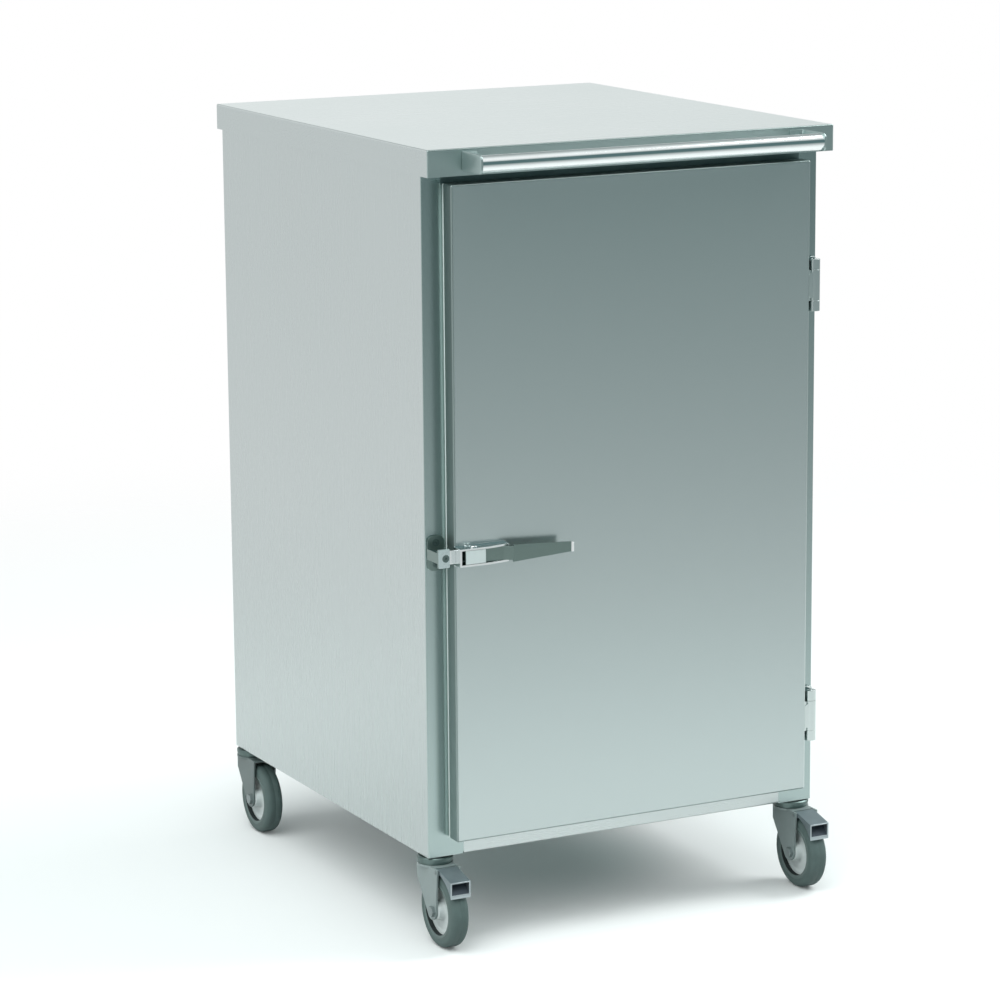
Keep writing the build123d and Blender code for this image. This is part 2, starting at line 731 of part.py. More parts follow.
def make_keeper():
    """A face plate that stands in front of the bolt, on a web that rises from the foot."""
    lip_back = keeper_lip_back()
    right = keeper_tip_x()
    left = right - KEEPER_WIDTH
    half = KEEPER_TALL / 2
    face = slab((left, right), (lip_back - KEEPER_LIP, lip_back), (LATCH_HEIGHT - half, LATCH_HEIGHT + half))
    face = drilled(fillet(face.edges().filter_by(Axis.Y), KEEPER_ROUND), [keeper_face_screw()])
    web_half = KEEPER_WEB_TALL / 2
    web = slab(
        (left + KEEPER_ROUND, left + KEEPER_ROUND + KEEPER_WEB),
        (lip_back, FRONT_Y - KEEPER_PLATE),
        (LATCH_HEIGHT - web_half, LATCH_HEIGHT + web_half),
    )
    return face + web


# Latch, drawn with the lever's pivot on the Z axis and the door's face at y = LATCH_PIN_OUT


def latch_left_x():
    return -DOOR_HALF - LATCH_OUTBOARD


def latch_place():
    return Pos(latch_left_x() + LATCH_PIN_X, DOOR_FRONT_Y - LATCH_PIN_OUT, LATCH_HEIGHT)


def make_latch_housing():
    """A base plate on the door, two shaped cheeks and a front return at the left end."""
    half = LATCH_TALL / 2
    left = -LATCH_PIN_X
    right = left + LATCH_LENGTH
    front = LATCH_PIN_OUT - LATCH_DEPTH
    toe = LATCH_PIN_OUT - LATCH_TOE_DEPTH
    base_half = half + LATCH_LEDGE
    base = slab((left, right), (LATCH_PIN_OUT - LATCH_PLATE, LATCH_PIN_OUT), (-base_half, base_half))
    base = fillet(base.edges().filter_by(Axis.Y), LATCH_LEDGE)
    cheek = Polyline(
        (left, LATCH_PIN_OUT),
        (left, front),
        (left + LATCH_STRAIGHT, front),
        (right, toe),
        (right, LATCH_PIN_OUT),
        close=True,
    )
    cheek = make_face(cheek)
    cheek = fillet(cheek.vertices().sort_by_distance((right, toe, 0))[0], LATCH_TOE_DEPTH / 3)
    housing = base
    for low in (-half, half - LATCH_FLANGE):
        housing += extrude(Plane.XY.offset(low) * cheek, LATCH_FLANGE)
    bolt_front = bolt_back_y() - BOLT_THICK - BOLT_SIDE_GAP - (DOOR_FRONT_Y - LATCH_PIN_OUT)
    housing += slab((left, left + LATCH_RETURN), (front, bolt_front), (-half, half))
    housing -= rod(LATCH_PIN_RADIUS, LATCH_TALL + 2, z=-half - 1)
    return drilled(housing, latch_screws())


def latch_screws():
    x = LATCH_LENGTH - LATCH_PIN_X - SCREW_HEAD_RADIUS - LATCH_PLATE
    return [facing_front(x, LATCH_PIN_OUT - LATCH_PLATE, 0)]


def make_latch_pin():
    half = LATCH_TALL / 2
    pin = rod(LATCH_PIN_RADIUS, LATCH_TALL, z=-half)
    head = rod(LATCH_PIN_RADIUS + LATCH_PIN_HEAD, LATCH_PIN_HEAD, z=half)
    return latch_place() * (pin + fillet(head.edges().group_by(Axis.Z)[-1], LATCH_PIN_HEAD * 0.4))


def make_latch_lever():
    """A flat boss on a hub between the cheeks, a waist, and a tapering arm with a lip at its tip."""
    half = LATCH_TALL / 2 - LATCH_FLANGE - LEVER_GAP
    root = LATCH_LENGTH - LATCH_PIN_X + LEVER_GAP
    boss = LEVER_BOSS / 2
    face = LATCH_PIN_OUT - LATCH_DEPTH + LEVER_GAP
    waist = face + LEVER_WAIST
    arm_face = LATCH_PIN_OUT - LATCH_DEPTH - LEVER_STANDOFF
    front = [
        (-boss, face),
        (boss, face),
        (boss + LEVER_WAIST / 2, waist),
        (root - LEVER_BEND_RUN, waist),
        (root, arm_face),
        (LEVER_REACH - LEVER_LIP, arm_face),
        (LEVER_REACH, arm_face - LEVER_LIP),
    ]
    back = [(x, y + LEVER_THICK) for x, y in front]
    plan = make_face(Polyline(*front, *back[::-1], close=True))
    arm = extrude(Plane.XY.offset(-LEVER_TALL) * plan, 2 * LEVER_TALL)
    side = Polyline(
        (-boss, -half),
        (root, -half),
        (root, -LEVER_TALL / 2),
        (LEVER_REACH, -LEVER_TIP_TALL / 2),
        (LEVER_REACH, LEVER_TIP_TALL / 2),
        (root, LEVER_TALL / 2),
        (root, half),
        (-boss, half),
        close=True,
    )
    arm &= extrude(Plane.XZ.offset(-2 * LATCH_DEPTH) * make_face(side), 4 * LATCH_DEPTH)
    finger_half = BOLT_TALL / 2 - BOLT_RIB - FINGER_CLEARANCE
    finger = slab((-FINGER_RADIUS, FINGER_RADIUS), (0, FINGER_ARM), (-finger_half, finger_half))
    finger += rod(FINGER_RADIUS, 2 * finger_half, y=FINGER_ARM, z=-finger_half)
    lever = rod(LEVER_HUB_RADIUS, 2 * half, z=-half) + arm + Rot(0, 0, LEVER_SWING / 2) * finger
    lever -= rod(LATCH_PIN_RADIUS + LATCH_PIN_FIT, LATCH_TALL, z=-LATCH_TALL / 2)
    lever -= rod(spring_pocket_radius(), spring_pocket_depth(), z=-half)
    return latch_place() * lever


def make_latch_bolt():
    """A flat bar behind the lever, with a bevelled nose and a window for the lever's finger."""
    y_back = bolt_back_y() - (DOOR_FRONT_Y - LATCH_PIN_OUT)
    y_front = y_back - BOLT_THICK
    nose = -LATCH_PIN_X - BOLT_NOSE
    plan = Polyline(
        (nose + BOLT_THICK * 0.8, y_back),
        (nose, y_back - BOLT_THICK * 0.5),
        (nose, y_front),
        (BOLT_TAIL, y_front),
        (BOLT_TAIL, y_back),
        close=True,
    )
    half = BOLT_TALL / 2
    bar = extrude(Plane.XY.offset(-half) * make_face(plan), BOLT_TALL)
    reach = FINGER_ARM * sin(radians(LEVER_SWING / 2))
    window_half = FINGER_RADIUS / cos(radians(LEVER_SWING / 2)) + FINGER_CLEARANCE
    window = slab(
        (-reach - window_half, -reach + window_half),
        (y_front - 1, y_back + 1),
        (-half + BOLT_RIB, half - BOLT_RIB),
    )
    return latch_place() * (bar - window)


def spring_pocket_radius():
    return LATCH_PIN_RADIUS + SPRING_WIRE + 3 * LEVER_GAP


def spring_pocket_depth():
    return SPRING_PITCH * SPRING_TURNS + SPRING_WIRE + LEVER_GAP


def make_latch_spring():
    """A torsion spring of square wire round the pin, in a pocket under the lever's hub."""
    low = LATCH_FLANGE - LATCH_TALL / 2 + SPRING_WIRE / 2
    coil = Helix(SPRING_PITCH, SPRING_PITCH * SPRING_TURNS, LATCH_PIN_RADIUS + SPRING_WIRE / 2 + LEVER_GAP)
    start = Plane(origin=coil @ 0, z_dir=coil % 0, x_dir=(0, 0, 1))
    section = start * Rectangle(SPRING_WIRE * 0.9, SPRING_WIRE * 0.9)
    return latch_place() * Pos(0, 0, low) * sweep(section, path=coil, is_frenet=True)


# Castors, drawn with the swivel on the Z axis, the floor at z = 0 and the axle towards -Y


def make_castor_head():
    """The fixed upper part: stem, disc, neck and the riveted collar that carries the fork."""
    disc_bottom = RACE_TOP_Z
    disc_top = disc_bottom + HEAD_DISC
    collar_top = CROWN_BOTTOM_Z - FORK_SIDE_GAP
    profile = Polyline(
        (0, collar_top - RIVET_THICK),
        (RIVET_RADIUS, collar_top - RIVET_THICK),
        (RIVET_RADIUS, collar_top),
        (NECK_RADIUS, collar_top),
        (NECK_RADIUS, disc_bottom),
        (SWIVEL_RADIUS, disc_bottom),
        (SWIVEL_RADIUS, disc_top - HEAD_BOSS),
        (SWIVEL_RADIUS - HEAD_BOSS, disc_top),
        (HEAD_BOSS_RADIUS, disc_top),
        (HEAD_BOSS_RADIUS, CARCASS_BOTTOM_Z),
        (STEM_RADIUS, CARCASS_BOTTOM_Z),
        (STEM_RADIUS, CARCASS_BOTTOM_Z + STEM_LENGTH),
        (0, CARCASS_BOTTOM_Z + STEM_LENGTH),
        close=True,
    )
    return revolve(Plane.XZ * make_face(profile), Axis.Z)


def make_castor_race():
    """The hardened ring under the head that the fork's crown runs on."""
    low = CROWN_TOP_Z + FORK_SIDE_GAP
    outer = SWIVEL_RADIUS - HEAD_BOSS
    ring = rod(outer, RACE_TOP_Z - low, z=low)
    return ring - rod(outer - RACE_WIDTH, RACE_HEIGHT, z=low)


def on_each_castor(shape):
    return Compound(children=[Pos(x, y, 0) * shape for x, y, brake in CASTORS.values()])


def make_castor_nut():
    seat = CARCASS_BOTTOM_Z + BASE_SHEET
    nut = extrude(RegularPolygon(STEM_NUT_SIZE / 2, 6, major_radius=False), STEM_NUT_HEIGHT)
    nut -= Cylinder(STEM_RADIUS, 4 * STEM_NUT_HEIGHT)
    return Pos(0, 0, seat) * nut


def fork_inner_half():
    return TYRE_WIDTH / 2 + FORK_GAP


def make_castor_fork(brake):
    """A pressed fork: round crown, two legs that taper to the axle, holes for the pins."""
    inner = fork_inner_half()
    outer = inner + FORK_SHEET
    axle = (-SWIVEL_TRAIL, WHEEL_RADIUS)
    rear_y = sqrt(SWIVEL_RADIUS ** 2 - outer ** 2) + 3
    front_y = -SWIVEL_TRAIL - FORK_END_RADIUS
    waist_z = CROWN_BOTTOM_Z - 18
    sides = Polyline(
        (rear_y, CROWN_TOP_Z),
        (rear_y, waist_z),
        (front_y, CROWN_TOP_Z),
        close=True,
    )
    end = Pos(axle[0] + FORK_END_BEHIND, axle[1]) * Circle(FORK_END_RADIUS)
    leg = make_hull(sides.edges() + end.edges())
    legs = extrude(Plane.YZ.offset(-outer) * leg, 2 * outer)
    legs -= slab((-inner, inner), (-500, 500), (0, CROWN_BOTTOM_Z))
    if brake:
        crown_front = pedal_pin()[0] + PEDAL_CURL_RADIUS + PEDAL_CROWN_GAP
        legs -= slab((-inner, inner), (-500, crown_front), (0, CROWN_TOP_Z + 1))
    crown = rod(SWIVEL_RADIUS, FORK_CROWN, z=CROWN_BOTTOM_Z)
    fork = legs + crown
    fork -= rod(NECK_RADIUS + NECK_FIT, 4 * FORK_CROWN, z=CROWN_BOTTOM_Z - FORK_CROWN)
    fork -= cross_rod(AXLE_RADIUS, 2 * outer, *axle)
    if brake:
        fork -= cross_rod(PEDAL_PIN_RADIUS, 2 * outer, *pedal_pin())
    return fork


def make_castor_pins(brake):
    """The axle bolt with its head and nut, and on the braked castors the pedal's pin."""
    outer = fork_inner_half() + FORK_SHEET
    y, z = -SWIVEL_TRAIL, WHEEL_RADIUS
    shank = cross_rod(AXLE_RADIUS, outer + 1, y, z)
    end = extrude(Plane.YZ * Pos(y, z) * RegularPolygon(AXLE_RADIUS * 1.6, 6, major_radius=False), 5.0)
    end = fillet(end.edges().group_by(Axis.X)[-1], 0.8)
    bolt = shank + Pos(outer, 0, 0) * end
    bolt += mirror(Pos(outer, 0, 0) * end, about=Plane.YZ)
    if not brake:
        return bolt
    pin = cross_rod(PEDAL_PIN_RADIUS, outer + 1, *pedal_pin())
    return Compound(children=[bolt, pin])


def make_castor_rim():
    """The wheel centre: a hub, a thin web and an outer band, turned about the axle."""
    hub_half = fork_inner_half() - FORK_SIDE_GAP
    band_half = TYRE_WIDTH / 2 - RIM_RECESS
    bore = AXLE_RADIUS + AXLE_FIT
    web = RIM_WEB / 2
    profile = Polyline(
        (bore, -hub_half),
        (HUB_RADIUS, -hub_half),
        (HUB_RADIUS + 1.5, -web - 1.5),
        (HUB_RADIUS + 5, -web),
        (RIM_RADIUS - 7, -web),
        (RIM_RADIUS - 3, -band_half),
        (RIM_RADIUS, -band_half),
        (RIM_RADIUS, band_half),
        (RIM_RADIUS - 3, band_half),
        (RIM_RADIUS - 7, web),
        (HUB_RADIUS + 5, web),
        (HUB_RADIUS + 1.5, web + 1.5),
        (HUB_RADIUS, hub_half),
        (bore, hub_half),
        close=True,
    )
    place = Pos(0, -SWIVEL_TRAIL, WHEEL_RADIUS) * Rot(0, 90, 0)
    return place * revolve(Plane.XZ * make_face(profile), Axis.Z)


def make_castor_tyre():
    half = TYRE_WIDTH / 2
    section = Pos((RIM_RADIUS + WHEEL_RADIUS) / 2, 0) * Rectangle(WHEEL_RADIUS - RIM_RADIUS, TYRE_WIDTH)
    section = fillet(section.vertices().group_by(Axis.X)[-1], TYRE_ROUND)
    section = chamfer(section.vertices().group_by(Axis.X)[0], 1.5)
    place = Pos(0, -SWIVEL_TRAIL, WHEEL_RADIUS) * Rot(0, 90, 0)
    return place * revolve(Plane.XZ * section, Axis.Z)


def pedal_pin():
    return (-SWIVEL_TRAIL - PEDAL_PIN_AHEAD, CROWN_TOP_Z - PEDAL_CURL_RADIUS)


def make_brake_pedal():
    """A pressed pedal open at the front: curl round its pin, top, cheeks and a shoe over the tyre."""
    pin = pedal_pin()
    axle = Pos(-SWIVEL_TRAIL, WHEEL_RADIUS)
    half = PEDAL_WIDTH / 2
    shoe = WHEEL_RADIUS + PEDAL_SHOE_GAP
    front = -SWIVEL_TRAIL - PEDAL_REACH
    front_top = CROWN_TOP_Z - PEDAL_TOP_SLOPE
    outline = Polyline(
        (pin[0], CROWN_TOP_Z),
        (front, front_top),
        (front, WHEEL_RADIUS),
        (pin[0], WHEEL_RADIUS),
        close=True,
    )
    outline = make_face(outline) - axle * Circle(shoe) + Pos(*pin) * Circle(PEDAL_CURL_RADIUS)
    inside = Polyline(
        (pin[0] - PEDAL_CURL_RADIUS, CROWN_TOP_Z - 1.5 * PEDAL_SHEET),
        (front - 1, front_top - PEDAL_SHEET),
        (front - 1, WHEEL_RADIUS),
        (pin[0] - PEDAL_CURL_RADIUS, WHEEL_RADIUS),
        close=True,
    )
    inside = make_face(inside) - axle * Circle(shoe + PEDAL_SHEET)
    pedal = extrude(Plane.YZ.offset(-half) * outline, 2 * half)
    pedal -= extrude(Plane.YZ.offset(-half + PEDAL_SHEET) * inside, 2 * (half - PEDAL_SHEET))
    return pedal - cross_rod(PEDAL_PIN_RADIUS + AXLE_FIT, 2 * half, *pin)


# Screws


def frame_screw_places():
    hinges = [place * screw for place in hinge_places() for screw in hinge_frame_screws()]
    return hinges + keeper_screws() + [keeper_face_screw()]


def door_screw_places():
    hinges = [place * screw for place in hinge_places() for screw in hinge_door_screws()]
    return hinges + [latch_place() * screw for screw in latch_screws()]


def make_screws(places):
    screw = countersunk_screw()
    return Compound(children=[place * screw for place in places])


def make_nodes():
    left_panel = make_left_side_panel()
    right_panel = mirror(left_panel, about=Plane.YZ)
    on_frame = frame_screw_places()
    on_door = door_screw_places()
    levels = shelf_levels()
    hinge_upper, hinge_lower = hinge_places()
    frame_leaf = make_hinge_frame_leaf()
    door_leaf = make_hinge_door_leaf()
    nodes = {
        "top_plate": make_top_plate(),
        "top_stiffeners": make_top_stiffeners(),
        "push_bar": make_push_bar(),
        "push_bar_screws": make_bar_screws(),
        "left_side_panel": drilled(left_panel, on_frame),
        "right_side_panel": drilled(right_panel, on_frame),
        "back_panel": make_back_panel(),
        "roof_panel": make_roof_panel(),
        "floor_panel": make_floor_panel(),
        "front_rail_top": make_front_rail(*rail_levels()[1]),
        "front_rail_bottom": make_front_rail(*rail_levels()[0]),
        "base_rail_left": make_base_rail(-1),
        "base_rail_right": make_base_rail(1),
        "base_cross_members": make_base_cross_members(),
        "shelf_uprights": make_uprights(),
        "shelf_clips": make_shelf_clips(),
        "shelf_lower": make_shelf(levels[0]),
        "shelf_upper": make_shelf(levels[-1]),
        "door_outer_skin": drilled(make_door_outer_skin(), on_door),
        "door_inner_liner": make_door_inner_liner(),
        "door_core": drilled(make_door_core(), on_door),
        "door_gasket": make_door_gasket(),
        "hinge_upper_frame_leaf": hinge_upper * frame_leaf,
        "hinge_lower_frame_leaf": hinge_lower * frame_leaf,
        "hinge_upper_door_leaf": hinge_upper * door_leaf,
        "hinge_lower_door_leaf": hinge_lower * door_leaf,
        "hinge_pins": make_hinge_pins(),
        "keeper_foot": make_keeper_foot(),
        "keeper": make_keeper(),
        "frame_screws": make_screws(on_frame),
        "door_screws": make_screws(on_door),
        "latch_housing": latch_place() * make_latch_housing(),
        "latch_pin": make_latch_pin(),
        "latch_lever": make_latch_lever(),
        "latch_bolt": make_latch_bolt(),
        "latch_spring": make_latch_spring(),
        "castor_heads": on_each_castor(make_castor_head()),
        "castor_races": on_each_castor(make_castor_race()),
        "castor_nuts": on_each_castor(make_castor_nut()),
    }
    for name, (x, y, brake) in CASTORS.items():
        place = Pos(x, y, 0)
        nodes[f"castor_{name}_fork"] = place * make_castor_fork(brake)
        nodes[f"castor_{name}_axle"] = place * make_castor_pins(brake)
        nodes[f"castor_{name}_rim"] = place * make_castor_rim()
        nodes[f"castor_{name}_tyre"] = place * make_castor_tyre()
        if brake:
            nodes[f"brake_pedal_{name}"] = place * make_brake_pedal()
    return nodes


def main():
    os.makedirs("parts", exist_ok=True)
    for name, shape in make_nodes().items():
        export_step(shape, f"parts/{name}.step")


if __name__ == "__main__":
    main()
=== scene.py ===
"""Finishes, small shapes, studio and camera for the sterile material trolley."""

import math

import bmesh
import bpy
from bpy.props import FloatProperty, FloatVectorProperty, IntProperty, PointerProperty
from mathutils import Matrix, Vector


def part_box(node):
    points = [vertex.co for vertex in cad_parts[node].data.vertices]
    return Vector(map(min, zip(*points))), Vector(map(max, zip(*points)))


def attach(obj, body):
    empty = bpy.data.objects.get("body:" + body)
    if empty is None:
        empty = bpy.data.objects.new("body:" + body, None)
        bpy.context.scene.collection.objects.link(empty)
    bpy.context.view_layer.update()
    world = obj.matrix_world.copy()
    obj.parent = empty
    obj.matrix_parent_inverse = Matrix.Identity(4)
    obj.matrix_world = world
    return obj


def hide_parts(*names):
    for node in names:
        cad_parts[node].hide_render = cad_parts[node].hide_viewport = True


bl_info = {
    "name": "Sterile material trolley",
    "version": (1, 0, 0),
    "blender": (4, 5, 0),
    "location": "View3D > Sidebar > Trolley",
    "description": "Finishes, turned and pressed parts, studio and camera of a trolley",
    "category": "Object",
}

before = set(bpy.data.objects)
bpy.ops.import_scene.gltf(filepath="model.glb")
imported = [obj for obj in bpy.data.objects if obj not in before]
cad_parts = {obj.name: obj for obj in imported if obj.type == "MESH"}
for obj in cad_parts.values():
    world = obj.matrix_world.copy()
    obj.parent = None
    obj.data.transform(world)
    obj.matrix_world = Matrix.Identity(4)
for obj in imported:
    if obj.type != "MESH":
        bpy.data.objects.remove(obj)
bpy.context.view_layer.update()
CORNERS = ("front_left", "front_right", "rear_left", "rear_right")
BRAKED = ("front_left", "front_right")

MERGE = 0.00001  # vertices closer than this become one
TOUCH = 0.0001  # how near counts as being in place
SHEET_SMOOTH = 32  # degrees up to which a sheet or pressing is shaded smooth


# Sizes and colours that a user would change


class TrolleySteel(bpy.types.PropertyGroup):
    sheet_tint: FloatVectorProperty(
        name="Side tint",
        description="Colour of the brushed sides, back, rails and the worktop's rim",
        subtype="COLOR",
        min=0,
        max=1,
        default=(0.59, 0.65, 0.645),
    )
    sheet_roughness: FloatProperty(
        name="Sheet roughness",
        description="How far the brushed sheets blur what they mirror",
        subtype="FACTOR",
        min=0,
        max=1,
        default=0.28,
    )
    # painted light: the worktop's upward faces and the top rail take this tint, lighter than
    # the same steel elsewhere
    top_tint: FloatVectorProperty(
        name="Worktop tint",
        description="Colour of the worktop, the top rail and the lever's boss",
        subtype="COLOR",
        min=0,
        max=1,
        default=(0.82, 0.90, 0.89),
    )
    door_tint: FloatVectorProperty(
        name="Door tint",
        description="Colour of the door's front and its liner",
        subtype="COLOR",
        min=0,
        max=1,
        default=(0.55, 0.625, 0.62),
    )
    door_roughness: FloatProperty(
        name="Door roughness",
        description="How far the door blurs what it mirrors",
        subtype="FACTOR",
        min=0,
        max=1,
        default=0.22,
    )
    # painted shade: the front faces of the worktop's rim, the stiles and the bar's legs are
    # darker than the same steel elsewhere
    front_shade_tint: FloatVectorProperty(
        name="Front edge tint",
        description="Colour of the worktop's front rim, the frame's stiles and the bar's legs",
        subtype="COLOR",
        min=0,
        max=1,
        default=(0.41, 0.505, 0.495),
    )
    # painted shade: the bends are darker than the sheet around them, so they show no bright
    # line
    bend_shade_tint: FloatVectorProperty(
        name="Bend tint",
        description="Colour of the bends along the door and the worktop's front rim",
        subtype="COLOR",
        min=0,
        max=1,
        default=(0.30, 0.37, 0.36),
    )
    polish_tint: FloatVectorProperty(
        name="Polished tint",
        description="Colour of the push bar's tube and the latch",
        subtype="COLOR",
        min=0,
        max=1,
        default=(0.88, 0.92, 0.92),
    )
    # painted shade: this dark tint also goes on the keeper's foot and its outer side
    lever_and_shade_tint: FloatVectorProperty(
        name="Lever tint",
        description="Colour of the cast latch lever, the keeper's foot and its outer side",
        subtype="COLOR",
        min=0,
        max=1,
        default=(0.22, 0.29, 0.27),
    )
    # painted shade: the castor heads, races and nuts under the carcass, and the frame screws,
    # are darkened
    shaded_tint: FloatVectorProperty(
        name="Shaded zinc tint",
        description="Colour of the castor heads, races and nuts and the frame screws",
        subtype="COLOR",
        min=0,
        max=1,
        default=(0.16, 0.22, 0.21),
    )
    fork_tint: FloatVectorProperty(
        name="Fork tint",
        description="Colour of the two front castors' forks",
        subtype="COLOR",
        min=0,
        max=1,
        default=(0.32, 0.395, 0.39),
    )
    # painted shade: the rear forks are darker than the front ones
    rear_fork_tint: FloatVectorProperty(
        name="Rear fork tint",
        description="Colour of the two rear castors' forks",
        subtype="COLOR",
        min=0,
        max=1,
        default=(0.17, 0.22, 0.215),
    )
    # painted highlight: the pedals' bright mouths are painted, this tint is the rest of the
    # pedal
    pedal_tint: FloatVectorProperty(
        name="Pedal tint",
        description="Colour of the brake pedals behind their bright mouths",
        subtype="COLOR",
        min=0,
        max=1,
        default=(0.24, 0.30, 0.32),
    )
    zinc_tint: FloatVectorProperty(
        name="Zinc tint",
        description="Colour of the bar's and the door's screws and of the latch spring",
        subtype="COLOR",
        min=0,
        max=1,
        default=(0.66, 0.72, 0.73),
    )
    edge_round: FloatProperty(
        name="Edge rounding",
        description="Width of the rounding on pressed and cast edges",
        subtype="DISTANCE",
        unit="LENGTH",
        min=0.0001,
        max=0.002,
        default=0.0006,
    )


class TrolleyBar(bpy.types.PropertyGroup):
    leg_sheet: FloatProperty(
        name="Leg sheet",
        description="Thickness of the push bar's plate legs",
        subtype="DISTANCE",
        unit="LENGTH",
        min=0.001,
        max=0.008,
        default=0.003,
    )
    leg_round: FloatProperty(
        name="Leg corner",
        description="Radius of the legs' two front corners",
        subtype="DISTANCE",
        unit="LENGTH",
        min=0.001,
        max=0.012,
        default=0.007,
    )
    leg_bend: FloatProperty(
        name="Leg bend",
        description="Outer radius of the bend between a leg and its flange",
        subtype="DISTANCE",
        unit="LENGTH",
        min=0.0035,
        max=0.010,
        default=0.0045,
    )
    flange: FloatProperty(
        name="Flange",
        description="Length of the flange that lies against the worktop's rim",
        subtype="DISTANCE",
        unit="LENGTH",
        min=0.015,
        max=0.040,
        default=0.022,
    )
    tube_step: FloatProperty(
        name="Tube step",
        description="How far the legs stand above and below the tube",
        subtype="DISTANCE",
        unit="LENGTH",
        min=0.0,
        max=0.005,
        default=0.001,
    )
    nut_size: FloatProperty(
        name="Weld nut",
        description="Width across the flats of the nut on a flange",
        subtype="DISTANCE",
        unit="LENGTH",
        min=0.010,
        max=0.018,
        default=0.013,
    )
    nut_height: FloatProperty(
        name="Weld nut height",
        description="How far the nut stands off its flange",
        subtype="DISTANCE",
        unit="LENGTH",
        min=0.003,
        max=0.010,
        default=0.0065,
    )


class TrolleyWheels(bpy.types.PropertyGroup):
    tyre_tint: FloatVectorProperty(
        name="Tyre tint",
        description="Colour of the tyres",
        subtype="COLOR",
        min=0,
        max=1,
        default=(0.105, 0.16, 0.152),
    )
    centre_tint: FloatVectorProperty(
        name="Wheel centre tint",
        description="Colour of the moulded wheel centres",
        subtype="COLOR",
        min=0,
        max=1,
        default=(0.72, 0.80, 0.79),
    )
    sides: IntProperty(
        name="Sides",
        description="Number of sides round a wheel",
        min=24,
        max=192,
        default=96,
    )


class TrolleyStage(bpy.types.PropertyGroup):
    floor_radius: FloatProperty(
        name="Floor radius",
        description="How far the white floor reaches before it fades into the background",
        subtype="DISTANCE",
        unit="LENGTH",
        min=1.0,
        max=40.0,
        default=16.0,
    )
    left_power: FloatProperty(
        name="Left power",
        description="Strength of the soft lamp above the trolley's left",
        subtype="POWER",
        unit="POWER",
        min=0,
        max=1000,
        default=70.0,
    )
    right_power: FloatProperty(
        name="Right power",
        description="Strength of the soft lamp above the trolley's right",
        subtype="POWER",
        unit="POWER",
        min=0,
        max=1000,
        default=104.0,
    )
    lens: FloatProperty(
        name="Lens",
        description="Focal length of the camera",
        subtype="DISTANCE_CAMERA",
        min=20,
        max=400,
        default=135.58,
    )


# Mesh helpers


def deselect_all():
    bpy.ops.object.select_all(action="DESELECT")


def active_piece(piece):
    deselect_all()
    piece.select_set(True)
    bpy.context.view_layer.objects.active = piece


def edit(piece):
    active_piece(piece)
    bpy.ops.object.mode_set(mode="EDIT")
    bpy.ops.mesh.select_mode(type="VERT")


def leave_edit():
    bpy.ops.object.mode_set(mode="OBJECT")


def select_where(piece, kind, test):
    """Selects the vertices, edges or faces of the piece that pass the test, in edit mode."""
    modes = {"verts": "VERT", "edges": "EDGE", "faces": "FACE"}
    bpy.ops.mesh.select_mode(type=modes[kind])
    bpy.ops.mesh.select_all(action="DESELECT")
    shape = bmesh.from_edit_mesh(piece.data)
    found = [element for element in getattr(shape, kind) if test(element)]
    if not found:
        raise RuntimeError(f"{piece.name}: nothing was selected by {test.__name__}")
    for element in found:
        element.select_set(True)
    shape.select_flush_mode()
    bmesh.update_edit_mesh(piece.data)


def add_modifier(piece, kind, name, **settings):
    modifier = piece.modifiers.new(name, kind)
    for key, value in settings.items():
        setattr(modifier, key, value)
    active_piece(piece)
    bpy.ops.object.modifier_apply(modifier=modifier.name)


def smooth(piece, angle):
    active_piece(piece)
    bpy.ops.object.shade_smooth_by_angle(angle=math.radians(angle))


def settle(piece):
    """Leaves the piece's object at the origin, with its place in its mesh."""
    active_piece(piece)
    bpy.ops.object.transform_apply(location=True, rotation=True, scale=True)


def flat_faces(piece):
    add_modifier(piece, "WEIGHTED_NORMAL", "Flat faces", keep_sharp=True, weight=100)


def round_edges(piece, width, segments, angle):
    """Rounds the edges that turn by more than the angle."""
    add_modifier(
        piece,
        "BEVEL",
        "Rounded edges",
        width=width,
        segments=segments,
        limit_method="ANGLE",
        angle_limit=math.radians(angle),
        use_clamp_overlap=True,
    )


def sheet_copy(node, name, *cuts):
    """A copy of a CAD node with its facets merged, cut along planes of (point, normal)."""
    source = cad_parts[node]
    piece = bpy.data.objects.new(name, source.data.copy())
    bpy.context.scene.collection.objects.link(piece)
    piece.data.materials.clear()
    edit(piece)
    bpy.ops.mesh.select_all(action="SELECT")
    bpy.ops.mesh.remove_doubles(threshold=MERGE)
    bpy.ops.mesh.dissolve_limited(angle_limit=math.radians(1.0))
    for point, normal in cuts:
        bpy.ops.mesh.select_all(action="SELECT")
        bpy.ops.mesh.bisect(plane_co=point, plane_no=normal)
    leave_edit()
    smooth(piece, SHEET_SMOOTH)
    flat_faces(piece)
    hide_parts(node)
    return piece


def softened(node, name, width, segments=2):
    """A copy of a CAD node with its edges rounded, standing for that node."""
    piece = sheet_copy(node, name)
    round_edges(piece, width, segments, SHEET_SMOOTH)
    smooth(piece, SHEET_SMOOTH)
    flat_faces(piece)
    return piece


def repaint(piece, material, test):
    """Gives the faces that pass the test another material."""
    piece.data.materials.append(material)
    edit(piece)
    select_where(piece, "faces", test)
    piece.active_material_index = len(piece.data.materials) - 1
    bpy.ops.object.material_slot_assign()
    leave_edit()


def both_sides(half_profile):
    """A half profile with its mirror image, closed into a ring."""
    mirrored = [(radius, -along) for radius, along in reversed(half_profile)]
    return half_profile + mirrored + [half_profile[0]]


